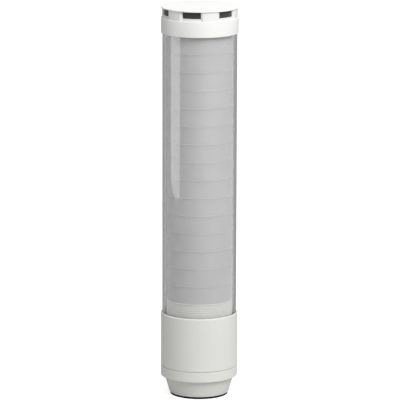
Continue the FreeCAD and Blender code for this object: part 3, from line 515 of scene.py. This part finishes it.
# %% What stands off the drum's axis
lug_low, lug_tall, lug_half, lug_reach = drum_bottom + 2.0 * mm, 3.0 * mm, np.radians(13), 30.0 * mm
board_bosses, boss_radius, boss_top = around(26.0 * mm, np.radians(90), 3), 3.0 * mm, web_high + 5.0 * mm
socket_posts, post_radius = around(22.0 * mm, np.radians(30), 3), 3.2 * mm
pilot_radius, pilot_deep = 1.1 * mm, 4.6 * mm
spring_rows, spring_half = np.arange(5.0, 22.0, 4.0) * mm, 1.2 * mm
spring_left, spring_right = -0.3 * mm, 0.7 * mm


def lug_plan(middle):
    """A piece of a ring: an arc just inside the drum's wall, and back along an arc nearer the axis."""
    outside = arc(housing_bore + 0.6 * mm, middle - lug_half, middle + lug_half, 14)
    inside = arc(lug_reach, middle + lug_half, middle - lug_half, 14)
    return np.concatenate([outside, inside])


added = [prism(lug_plan(middle), lug_low, lug_low + lug_tall) for middle in np.arange(3) * tau / 3]
added += [prism(disc(centre, boss_radius), web_low + mm, boss_top) for centre in board_bosses]
added += [prism(disc(centre, post_radius), web_low + mm, socket_bottom) for centre in socket_posts]
joined(drum, "UNION", added)

pilots = [prism(disc(centre, pilot_radius, 24), web_high, boss_top + mm) for centre in board_bosses]
pilots += [prism(disc(centre, pilot_radius, 24), socket_bottom - pilot_deep, socket_bottom + mm)
           for centre in socket_posts]
plans = [slab(spring_left, y - spring_half, spring_right, y + spring_half) for y in spring_rows]
spring_slots = [prism(plan, web_low - mm, web_high + mm) for plan in plans]
joined(drum, "DIFFERENCE", pilots + spring_slots)
place(drum, "tower", base_plastic, "base_housing")

# %% [markdown]
# ## The collar under the tube
#
# Through the foot of the clear tube we see a grey collar, the same plastic as the drum. It stands on a web
# that closes the drum, and its rim steps in to carry the first cup. A lip at its top edge and four shallow
# grooves below it draw the thin lines that show there. The grooves could be cut one by one, but in the
# outline they are only four more steps, which a loop writes.

# %% Collar
socket_web_top = socket_bottom + 2.0 * mm
collar_top = socket_top - nest_rise
rim_low, rim_radius = collar_top - 1.0 * mm, diffuser_radius + 0.4 * mm
collar_bore = 27.5 * mm
groove_count, groove_depth, groove_tall, groove_pitch = 4, 0.25 * mm, 0.8 * mm, 2.1 * mm
grooves = []
for low in rim_low - groove_pitch * np.arange(groove_count, 0, -1):
    for up in (low, low + groove_tall):
        pair = [(diffuser_radius, up, 0.1 * mm), (diffuser_radius - groove_depth, up, 0.1 * mm)]
        grooves += pair if up == low else pair[::-1]
collar_outline = rounded([
    (rod_hole, socket_bottom, 0.2 * mm),
    (lens_radius, socket_bottom, 0.2 * mm),
    (lens_radius, socket_web_top, 0.2 * mm),
    (diffuser_radius, socket_web_top, 0.3 * mm),
    *grooves,
    (diffuser_radius, rim_low, 0.1 * mm),
    (rim_radius, rim_low, 0.15 * mm),
    (rim_radius, collar_top, 0.15 * mm),
    (nest_radius, collar_top, 0.05 * mm),
    (nest_radius, socket_top, 0.15 * mm),
    (nest_radius - nest_wall, socket_top, 0.15 * mm),
    (nest_radius - nest_wall, rim_low, 0.05 * mm),
    (collar_bore, rim_low - nest_wall, 0.2 * mm),
    (collar_bore, socket_web_top, 0.5 * mm),
    (rod_hole, socket_web_top, 0.2 * mm),
])
collar = shell("tube_collar", turned(collar_outline))

screw_radius = 1.4 * mm
lead_slot = slab(8.8 * mm, -3.4 * mm, 10.0 * mm, 3.4 * mm)
through = socket_bottom - mm, socket_web_top + mm
screw_holes = [prism(disc(centre, screw_radius, 26), *through) for centre in socket_posts]
joined(collar, "DIFFERENCE", [*screw_holes, prism(lead_slot, *through)])
place(collar, "tower", base_plastic, "lens_socket")

# %% [markdown]
# ## The clear tube
#
# The tube is only a wall with two cut ends, yet it does most of the work in the picture. Both faces of the
# wall have to be there, because light bends at each of them. A single sheet would look like film.

# %% Clear tube
lens_outline = rounded([
    (lens_bore, lens_bottom, 0.2 * mm),
    (lens_radius, lens_bottom, 0.2 * mm),
    (lens_radius, lens_top, 0.2 * mm),
    (lens_bore, lens_top, 0.2 * mm),
])
lens = shell("clear_tube", turned(lens_outline, 256))
place(lens, "tower", clear_lens, "lens_tube")

# %% [markdown]
# ## Fifteen frosted cups
#
# The light is built from equal cups that nest on each other. Each has a bead round its top edge, less than
# half a millimetre proud, and that bead is the faint pale ring with a darker line under it that divides the
# column. Fifteen copies of one mesh would do, but each cup stands for a solid of its own. So a loop carries
# the same outline round at the height of each solid, and every cup rides as its own piece.

# %% Frosted cups
bead_radius, bead_height = diffuser_radius + 0.4 * mm, 1.1 * mm
divider, light_hole = 1.0 * mm, 12.37 * mm
rebate_radius, rebate_up = diffuser_radius - 0.8 * mm, 1.2 * mm


def cup_outline(bottom):
    """The outline of the cup that stands at the given height."""
    top = bottom + segment_pitch
    return rounded([
        (light_hole, top - divider, 0.2 * mm),
        (diffuser_bore, top - divider, 0.5 * mm),
        (diffuser_bore, bottom + rebate_up, 0.2 * mm),
        (rebate_radius, bottom + rebate_up, 0.05 * mm),
        (rebate_radius, bottom, 0.1 * mm),
        (diffuser_radius, bottom, 0.12 * mm),
        (diffuser_radius, top - bead_height, 0.02 * mm),
        (bead_radius, top - bead_height, 0.03 * mm),
        (bead_radius, top, 0.2 * mm),
        (nest_radius, top, 0.05 * mm),
        (nest_radius, top + nest_rise, 0.15 * mm),
        (nest_radius - nest_wall, top + nest_rise, 0.15 * mm),
        (nest_radius - nest_wall, top, 0.05 * mm),
        (light_hole, top, 0.2 * mm),
    ], steps=2)


cup_nodes = sorted(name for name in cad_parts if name.startswith("segment_"))
for node in cup_nodes:
    cup = shell(node.replace("segment", "frosted_cup"), turned(cup_outline(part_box(node)[0].z), 160))
    place(cup, "tower", frosted_diffuser, node)

# %% [markdown]
# ## The cap
#
# Six outlets break the band under the lid, so the cap isn't quite a turned part. It is still a grid: only
# now the outline depends on the angle. Over an outlet the band steps in to a pocket and stops at a low
# sill. Beside it the pocket's wall slants out, and between the outlets the band stands full. At an outlet's
# edge the grid has two rows at the same angle, one of each kind, and the faces between them are the
# upright side of the opening. The openings could be cut with prisms instead, but the slanted walls of the
# pockets come free this way. The sounder's bosses are joined on, and a Bevel modifier rounds the edges.

# %% Angles of the cap's rows
cap_shoulder = cap_bottom + 14.5 * mm
sill_top = cap_shoulder + 2.2 * mm
band_radius, band_bore, pocket_radius = 34.2 * mm, 32.0 * mm, 33.0 * mm
window_count, window_half, pocket_half = 6, np.radians(15.0), np.radians(18.0)

pitch_half = np.pi / window_count
solid_part = np.linspace(pocket_half, pitch_half, 7)
slant = np.linspace(window_half, pocket_half, 4)[:-1]
beside = np.concatenate([slant, solid_part])
inside = np.linspace(-window_half, window_half, 17)
local = np.concatenate([-beside[::-1], inside, beside[:-1]])
is_open = np.zeros(len(local), dtype=bool)
is_open[len(beside):len(beside) + len(inside)] = True
share = np.clip((np.abs(local) - window_half) / (pocket_half - window_half), 0, 1)
outer = pocket_radius + share * (band_radius - pocket_radius)
print(f"{len(local)} rows to each of {window_count} outlets")

# %% Outline of the cap for each row
shoulder_radius, skirt_chamfer = 1.0 * mm, 0.3 * mm
web_under, web_over = cap_bottom + 9.5 * mm, cap_bottom + 12.0 * mm
dish_under, dish_over = cap_bottom + 5.5 * mm, cap_bottom + 8.0 * mm
dish_radius, dish_bore = 14.5 * mm, 12.0 * mm
ring_step, ring_low, ring_high = 29.2 * mm, cap_bottom + 0.9 * mm, cap_bottom + 2.0 * mm
shoulder_centre = housing_radius - shoulder_radius, cap_shoulder - shoulder_radius
shoulder = arc(shoulder_radius, 0, tau / 4, 5, shoulder_centre)


def cap_outline(radius, top):
    """The cap's closed outline where the band has this radius and stops at this height."""
    return [
        (rod_hole, dish_under),
        (dish_radius, dish_under),
        (dish_radius, web_under),
        (diffuser_bore, web_under),
        (diffuser_bore, ring_high),
        (ring_step, ring_high),
        (ring_step, ring_low),
        (diffuser_radius, ring_low),
        (diffuser_radius, web_under),
        (tube_seat, web_under),
        (tube_seat, cap_bottom),
        (housing_radius - skirt_chamfer, cap_bottom),
        (housing_radius, cap_bottom + skirt_chamfer),
        *shoulder,
        (radius, cap_shoulder),
        (radius, sill_top),
        (radius, top),
        (band_bore, top),
        (band_bore, sill_top),
        (band_bore, web_over),
        (dish_bore, web_over),
        (dish_bore, dish_over),
        (rod_hole, dish_over),
    ]


tops = np.where(is_open, sill_top, band_top)
outlines = np.array([cap_outline(radius, top) for radius, top in zip(outer, tops)])
print(f"each row of the cap has {outlines.shape[1]} points")

# %% The cap's grid, bosses and edges
angles = (local[None, :] + np.arange(window_count)[:, None] * 2 * pitch_half).reshape(-1, 1)
rings = np.tile(outlines, (window_count, 1, 1))
across, up = rings[:, :, 0], rings[:, :, 1]
cap = shell("cap_moulding", np.stack([across * np.sin(angles), -across * np.cos(angles), up], axis=2))

sounder_bosses, sounder_boss_radius = around(20.0 * mm, np.radians(90), 3), 2.8 * mm
boss_low, boss_high = web_over - 0.9 * mm, web_over + 3.6 * mm
joined(cap, "UNION", [prism(disc(centre, sounder_boss_radius), boss_low, boss_high)
                      for centre in sounder_bosses])
pilots = [prism(disc(centre, pilot_radius, 24), boss_low - 0.5 * mm, boss_high + mm)
          for centre in sounder_bosses]
joined(cap, "DIFFERENCE", [*pilots, prism(lead_slot, dish_under - mm, dish_over + mm)])

soften = cap.modifiers.new("moulded_edges", "BEVEL")
soften.width, soften.segments = 0.22 * mm, 2
soften.limit_method, soften.angle_limit = "ANGLE", np.radians(30)
soften.harden_normals = True
place(cap, "tower", cap_plastic, "cap_housing")

# %% [markdown]
# ## The lid
#
# A thin disc overhangs the outlets and keeps the rain out of them. Under it a ring fits inside the cloth
# and centres it. Disc and ring are one moulding, so they are one outline. The disc's edge is a millimetre
# thick, and its two rounded corners take up half of that.

# %% Lid
disc_under = lid_top - 1.0 * mm
ring_bore, ring_radius = 30.0 * mm, 31.2 * mm
lid_outline = rounded([
    (0.0, disc_under, 0.0),
    (ring_bore, disc_under, 0.3 * mm),
    (ring_bore, lid_bottom, 0.2 * mm),
    (ring_radius, lid_bottom, 0.2 * mm),
    (ring_radius, disc_under, 0.2 * mm),
    (lid_radius, disc_under, 0.2 * mm),
    (lid_radius, lid_top, 0.28 * mm),
    (0.0, lid_top, 0.0),
])
lid = shell("lid_moulding", turned(lid_outline))
place(lid, "tower", cap_plastic, "cap_lid")

# %% [markdown]
# ## The cloth behind the outlets
#
# A strip of black woven cloth stands behind the outlets. It lets the sound out and keeps dust from getting
# in. The strip could be woven thread by thread, but it shows only through six small slots. So it is a
# turned wall, and its threads are two waves that cross, in the bump and in the colour. They follow a UV
# map in metres, since a pattern read straight from the coordinates would stretch as it goes round.

# %% Woven finish
thread_pitch, track_pitch = 0.691 * mm, 1.184 * mm


def wave_scale(pitch):
    """The scale at which a Wave texture repeats at this pitch: it turns by twenty radians in one unit."""
    return tau / (20 * pitch)


def woven_cloth():
    """Two waves multiplied, one round and one up the UV map, so a thread shows where both rise."""
    material, tree, shader = new_material("black_cloth")
    source = add_node(tree, "ShaderNodeUVMap", uv_map="cloth")
    threads = []
    for direction in ("X", "Y"):
        wave = add_node(tree, "ShaderNodeTexWave", wave_type="BANDS", bands_direction=direction)
        set_inputs(wave, Scale=wave_scale(thread_pitch), Distortion=0.4, Detail=1.0)
        tree.links.new(source.outputs["UV"], wave.inputs["Vector"])
        threads.append(wave.outputs["Fac"])
    weave = add_node(tree, "ShaderNodeMath", operation="MULTIPLY")
    tree.links.new(threads[0], weave.inputs[0])
    tree.links.new(threads[1], weave.inputs[1])
    black = shades(tree, weave.outputs["Value"], (0.022, 0.022, 0.021), (0.075, 0.075, 0.070))
    tree.links.new(black, shader.inputs["Base Color"])
    bumped(tree, shader, weave.outputs["Value"], 0.08 * mm)
    set_inputs(shader, Roughness=0.85, Sheen_Weight=0.2, Sheen_Roughness=0.5)
    return material


mesh_cloth = woven_cloth()
print("woven finish:", mesh_cloth.name)

# %% Strip of cloth
cloth_thick = 0.6 * mm
cloth_outline = rounded([
    (mesh_radius - cloth_thick, mesh_bottom, 0.1 * mm),
    (mesh_radius, mesh_bottom, 0.1 * mm),
    (mesh_radius, mesh_top, 0.1 * mm),
    (mesh_radius - cloth_thick, mesh_top, 0.1 * mm),
])
cloth = shell("outlet_cloth", turned(cloth_outline))
layer = cloth.data.uv_layers.new(name="cloth")
corner_of = np.empty(len(cloth.data.loops), dtype=int)
cloth.data.loops.foreach_get("vertex_index", corner_of)
place_of = np.empty(len(cloth.data.vertices) * 3)
cloth.data.vertices.foreach_get("co", place_of)
x, y, z = place_of.reshape(-1, 3)[corner_of].T
layer.data.foreach_set("uv", np.stack([np.arctan2(x, -y) * mesh_radius, z], axis=1).ravel())
place(cloth, "tower", mesh_cloth, "acoustic_mesh")

# %% [markdown]
# ## Finishes for the solids that stay
#
# The rest of the parts keep their CAD shape: rubber rings, boards, screws, the rod and the post. Most are
# hidden, but anyone who opens the model up will look at them, so each gets a finish of its own. Rubber
# comes first: it is nearly black, barely shines, and wears a faint bloom. The black plastic of the contact
# carrier holds short glass fibres, which show as flecks.

# %% Rubber and black plastic
def black_rubber():
    """Matt black with a dusty bloom."""
    material, tree, shader = new_material("black_rubber")
    where = object_place(tree)
    bloom = shades(tree, noise(tree, where, 6 * mm), (0.006, 0.006, 0.006), (0.012, 0.012, 0.011))
    tree.links.new(bloom, shader.inputs["Base Color"])
    tree.links.new(ranged(tree, noise(tree, where, 2 * mm), 0.62, 0.78), shader.inputs["Roughness"])
    bumped(tree, shader, noise(tree, where, 0.4 * mm), 0.015 * mm)
    set_inputs(shader, Specular_IOR_Level=0.12)
    return material


def filled_plastic():
    """Black plastic with short glass fibres, which show as flecks and small pits."""
    material, tree, shader = new_material("black_filled_plastic")
    where = object_place(tree)
    cells = add_node(tree, "ShaderNodeTexVoronoi", feature="F1")
    set_inputs(cells, Scale=1 / (0.6 * mm))
    tree.links.new(where, cells.inputs["Vector"])
    fleck = shades(tree, cells.outputs["Distance"], (0.034, 0.034, 0.037), (0.016, 0.016, 0.018))
    tree.links.new(fleck, shader.inputs["Base Color"])
    tree.links.new(ranged(tree, noise(tree, where, 3 * mm), 0.35, 0.5), shader.inputs["Roughness"])
    bumped(tree, shader, noise(tree, where, 0.2 * mm), 0.008 * mm)
    return material


print("helpers for rubber and black plastic:", black_rubber.__name__, filled_plastic.__name__)

# %% [markdown]
# ## Drawn and plated metal
#
# Rods, pads and screws are drawn or rolled, which leaves fine lines along them, and plating clouds them a
# little. An anisotropic shader could blur the gloss along the lines. Noise stretched along one axis is
# simpler, and it gives the lines themselves as well as their uneven gloss.

# %% Metals
def drawn_metal(name, light, dark, gloss_low, gloss_high, stretch):
    """Metal with the fine lines of its drawing or plating: noise stretched along one axis."""
    material, tree, shader = new_material(name)
    where = object_place(tree, stretch)
    lines = noise(tree, where, 0.4 * mm, 4.0)
    tree.links.new(shades(tree, lines, dark, light), shader.inputs["Base Color"])
    tree.links.new(ranged(tree, lines, gloss_low, gloss_high), shader.inputs["Roughness"])
    bumped(tree, shader, lines, 0.003 * mm)
    set_inputs(shader, Metallic=1.0)
    return material


brass = drawn_metal("contact_brass", (0.76, 0.58, 0.30), (0.62, 0.46, 0.22), 0.25, 0.4, (1, 1, 0.1))
steel = drawn_metal("zinc_steel", (0.66, 0.66, 0.64), (0.52, 0.53, 0.54), 0.28, 0.42, (1, 1, 0.2))
aluminium = drawn_metal("post_aluminium", (0.72, 0.73, 0.74), (0.60, 0.61, 0.62), 0.3, 0.45, (1, 1, 0.05))
print("metals:", brass.name, steel.name, aluminium.name)

# %% [markdown]
# ## Boards, diodes and leads
#
# A circuit board is copper under varnish, so it is glossier than plastic, and its tracks stand up a little.
# The real tracks could be drawn, but a brick pattern with thin joints is close enough for parts that are
# seen only when the model is opened. A diode is a white block with a dot of yellow phosphor, and a flat
# lead is amber film with copper tracks along it.

# %% Boards, diodes and leads
def circuit_board(name, varnish, track):
    """Varnish over copper tracks: bricks of a few millimetres whose joints are the gaps between tracks."""
    material, tree, shader = new_material(name)
    where = object_place(tree)
    bricks = add_node(tree, "ShaderNodeTexBrick", offset=0.5, squash=1.0)
    set_inputs(bricks, Scale=1.0, Mortar_Size=0.25 * mm, Brick_Width=4 * mm, Row_Height=1.3 * mm,
               Color1=(*varnish, 1), Color2=(*track, 1), Mortar=(*(0.7 * np.array(varnish)), 1))
    tree.links.new(where, bricks.inputs["Vector"])
    tree.links.new(bricks.outputs["Color"], shader.inputs["Base Color"])
    tree.links.new(ranged(tree, noise(tree, where, 3 * mm), 0.22, 0.34), shader.inputs["Roughness"])
    bumped(tree, shader, bricks.outputs["Fac"], -0.02 * mm)
    set_inputs(shader, Coat_Weight=0.4, Coat_Roughness=0.15)
    return material


def diode_package():
    """White ceramic with yellow dots of phosphor, one round the middle of each cell."""
    material, tree, shader = new_material("diode_package")
    where = object_place(tree)
    cells = add_node(tree, "ShaderNodeTexVoronoi", feature="F1")
    set_inputs(cells, Scale=1 / (4 * mm))
    tree.links.new(where, cells.inputs["Vector"])
    tint = shades(tree, cells.outputs["Distance"], (0.85, 0.70, 0.22), (0.82, 0.81, 0.76))
    tree.links.new(tint, shader.inputs["Base Color"])
    tree.links.new(ranged(tree, noise(tree, where, 2 * mm), 0.2, 0.3), shader.inputs["Roughness"])
    return material


def lead_film():
    """Amber film with copper tracks that run along it."""
    material, tree, shader = new_material("amber_film")
    where = object_place(tree)
    wave = add_node(tree, "ShaderNodeTexWave", wave_type="BANDS", bands_direction="Y")
    set_inputs(wave, Scale=wave_scale(track_pitch), Distortion=0.0)
    tree.links.new(where, wave.inputs["Vector"])
    tint = shades(tree, wave.outputs["Fac"], (0.36, 0.13, 0.02), (0.60, 0.27, 0.05))
    tree.links.new(tint, shader.inputs["Base Color"])
    tree.links.new(ranged(tree, noise(tree, where, 2 * mm), 0.25, 0.4), shader.inputs["Roughness"])
    bumped(tree, shader, wave.outputs["Fac"], 0.02 * mm)
    return material


print("helpers for electronics:", circuit_board.__name__, diode_package.__name__, lead_film.__name__)

# %% [markdown]
# ## Handing the finishes out
#
# Each solid brings a material slot whose name comes from the CAD record. So one table says which finish
# belongs to which name, and a loop does the rest. It dresses the solids that a new piece replaces as well,
# in case someone shows them again.

# %% Finishes on the nodes
finishes = {
    "base_plastic": base_plastic,
    "cap_plastic": cap_plastic,
    "clear_lens": clear_lens,
    "frosted_diffuser": frosted_diffuser,
    "mesh_cloth": mesh_cloth,
    "black_rubber": black_rubber(),
    "black_plastic": filled_plastic(),
    "green_board": circuit_board("green_board", (0.012, 0.11, 0.045), (0.02, 0.17, 0.07)),
    "white_board": circuit_board("white_board", (0.70, 0.70, 0.69), (0.78, 0.78, 0.77)),
    "led_package": diode_package(),
    "contact_brass": brass,
    "zinc_steel": steel,
    "post_aluminium": aluminium,
    "lead_film": lead_film(),
}
dressed = 0
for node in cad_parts.values():
    for slot in node.material_slots:
        slot.material = finishes[slot.material.name.split(".")[0]]
        dressed += 1
print(f"{dressed} slots dressed on {len(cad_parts)} nodes")

# %% [markdown]
# ## Table and backdrop
#
# The light stands on wide white paper. The floor is lit like anything else, so the shadow of the foot falls
# on it, and for the camera and through glass it also glows, which lifts it to paper white. In a gloss it
# doesn't, so the plastic and the tube mirror a calmer floor. The world does nearly the same: it is white
# where it is seen, in a gloss too, and plain soft light where it only lights. More light could make the
# floor white as well, but it would wash out the object with it.

# %% Who is looking
def seen(tree, *kinds):
    """One for a ray from the camera, or of one of the other kinds named."""
    path = add_node(tree, "ShaderNodeLightPath")
    total = path.outputs["Is Camera Ray"]
    for kind in kinds:
        either = add_node(tree, "ShaderNodeMath", operation="MAXIMUM")
        tree.links.new(total, either.inputs[0])
        tree.links.new(path.outputs[kind], either.inputs[1])
        total = either.outputs["Value"]
    return total


print("a ray is told apart by", seen.__name__)

# %% Floor
floor_half = 12.0
floor_mesh = bpy.data.meshes.new("floor")
corners = floor_half * np.array([(-1, -1, 0), (1, -1, 0), (1, 1, 0), (-1, 1, 0)])
floor_mesh.from_pydata(corners + np.array([0, 0, cad_low.z]), [], [(0, 1, 2, 3)])
floor = bpy.data.objects.new("floor", floor_mesh)
bpy.context.scene.collection.objects.link(floor)

paper, tree, shader = new_material("white_paper")
set_inputs(shader, Base_Color=(0.55, 0.55, 0.55, 1), Roughness=0.9, Specular_IOR_Level=0.1)
glow = add_node(tree, "ShaderNodeMath", operation="MULTIPLY")
tree.links.new(seen(tree, "Is Transmission Ray"), glow.inputs[0])
glow.inputs[1].default_value = 0.74
shader.inputs["Emission Color"].default_value = (1, 1, 1, 1)
tree.links.new(glow.outputs["Value"], shader.inputs["Emission Strength"])
floor_mesh.materials.append(paper)
print(f"the floor is {2 * floor_half:.0f} m wide")

# %% World
world = bpy.data.worlds.new("studio")
bpy.context.scene.world = world
world.use_nodes = True
sky = world.node_tree.nodes["Background"]
soft_light = 0.53
brightness = add_node(world.node_tree, "ShaderNodeMapRange")
set_inputs(brightness, To_Min=soft_light, To_Max=1.0)
looks = seen(world.node_tree, "Is Glossy Ray", "Is Transmission Ray")
world.node_tree.links.new(looks, brightness.inputs["Value"])
world.node_tree.links.new(brightness.outputs["Result"], sky.inputs["Strength"])
set_inputs(sky, Color=(1, 1, 1, 1))
print(f"the world lights the object at {soft_light:.2f} of white")

# %% [markdown]
# ## Camera
#
# A long lens from nine heights away keeps the sides of the column nearly parallel. The camera looks down by
# about twelve degrees, which opens the lid into a thin ellipse, and stands a little to the right of the
# front outlet. Its place is worked out from the height of the object.

# %% Camera
tall = cad_high.z
aim = Vector((0, 0, 0.5028 * tall))
side_angle, down_angle, lean = np.radians(13.25), np.radians(11.55), np.radians(0.14)
distance, sideways = 9.011 * tall, 0.0015 * tall


def standing(azimuth, elevation, away, target):
    """The point at this distance from the target: azimuth 0 is in front, and grows to the right."""
    flat = np.cos(elevation)
    offset = Vector((np.sin(azimuth) * flat, -np.cos(azimuth) * flat, np.sin(elevation)))
    return target + away * offset


lens_of_camera = bpy.data.cameras.new("camera")
lens_of_camera.sensor_width, lens_of_camera.lens, lens_of_camera.clip_end = 36.0, 319.5, 100.0
camera = bpy.data.objects.new("camera", lens_of_camera)
bpy.context.scene.collection.objects.link(camera)
eye = standing(side_angle, down_angle, distance, aim)
turn = (aim - eye).to_track_quat("-Z", "Y").to_matrix().to_4x4()
shifted = Matrix.Rotation(lean, 4, "Z") @ Matrix.Translation((sideways, 0, 0))
camera.matrix_world = Matrix.Translation(eye) @ turn @ shifted
bpy.context.scene.camera = camera
print(f"camera {distance:.2f} m away, {lens_of_camera.lens:.0f} mm lens")

# %% [markdown]
# ## Lamps
#
# One large soft lamp stands in front and to the right, above the cap, so the right side and the lid are the
# brightest. A small one right above the lid lifts the lid and the cap's shoulder a little more. A tall
# softbox stands close on the left. It lights no matt surface, but the tube mirrors it as a long upright
# stripe that says the tube is clear. The stripe ends where the box ends, and since the box leans by two
# degrees, its lower end is cut at a slant.

# %% Lamps
def softbox(name, azimuth, elevation, away, width, tall_side, strength, target, roll=0.0):
    """An area lamp that faces its target, rolled about that line.

    Its strength is the brightness of its face, so its power is that times pi times the area of the face.
    """
    lamp = bpy.data.lights.new(name, "AREA")
    lamp.shape, lamp.size, lamp.size_y = "RECTANGLE", width, tall_side
    lamp.energy = strength * np.pi * width * tall_side
    item = bpy.data.objects.new(name, lamp)
    bpy.context.scene.collection.objects.link(item)
    stand = standing(azimuth, elevation, away, target)
    facing = (target - stand).to_track_quat("-Z", "Y").to_matrix().to_4x4()
    item.matrix_world = Matrix.Translation(stand) @ facing @ Matrix.Rotation(roll, 4, "Z")
    item.visible_camera = False
    print(f"{name}: {lamp.energy:.2f} W")
    return item


lid_middle = Vector((0, 0, tall))
below_aim = aim - Vector((0, 0, 4 * mm))
softbox("key", side_angle + np.radians(35), np.radians(40), away=2.2, width=1.06, tall_side=1.06,
        strength=10.6, target=aim)
softbox("top", side_angle, np.radians(89), away=0.60, width=0.3, tall_side=0.3,
        strength=3.3, target=lid_middle)
stripe = softbox("stripe", side_angle - np.radians(81.3), np.radians(14), away=0.80, width=0.56,
                 tall_side=0.725, strength=1.5, target=below_aim, roll=np.radians(-2.0))
stripe.visible_diffuse = False

# %% [markdown]
# ## Cards for the edges of the tube
#
# Clear plastic on white has an old trouble: at its edges it bends the white backdrop into view, and the
# outline dissolves. A photographer stands a grey card on each side of the backdrop, just out of the
# picture, so that the edges see grey. The cards here are bent sheets round the object. Only gloss and glass
# can see them, so they don't shade the table, and they may stand close without being in the picture.

# %% Cards
card_grey, _, shader = new_material("card_grey")
set_inputs(shader, Base_Color=(0, 0, 0, 1), Specular_IOR_Level=0.0, Emission_Color=(1, 1, 1, 1),
           Emission_Strength=0.36)


def card(name, start, end, away=0.28, tall_side=0.36, columns=24):
    """A sheet bent round the axis: at the angle a it stands at (R sin a, -R cos a), from the table up."""
    angle = np.linspace(start, end, columns)
    up = np.array([cad_low.z, cad_low.z + tall_side])
    x = np.broadcast_to(away * np.sin(angle), (2, columns))
    y = np.broadcast_to(-away * np.cos(angle), (2, columns))
    points = np.stack([x, y, np.broadcast_to(up[:, None], (2, columns))], axis=2).reshape(-1, 3)
    first = np.arange(columns - 1)
    faces = np.stack([first, first + 1, first + 1 + columns, first + columns], axis=1)
    mesh = bpy.data.meshes.new(name)
    mesh.from_pydata(points, [], faces)
    mesh.materials.append(card_grey)
    sheet = bpy.data.objects.new(name, mesh)
    bpy.context.scene.collection.objects.link(sheet)
    sheet.visible_camera = sheet.visible_diffuse = sheet.visible_shadow = False
    print(f"{name}: {away * (end - start):.2f} m wide")


card("left_card", side_angle - np.radians(172), side_angle - np.radians(120))
card("right_card", side_angle + np.radians(128), side_angle + np.radians(172))

# %% [markdown]
# ## Measuring and closing
#
# The last line shows the picture with the Standard view transform.

# %% View transform
bpy.context.scene.view_settings.view_transform = "Standard"
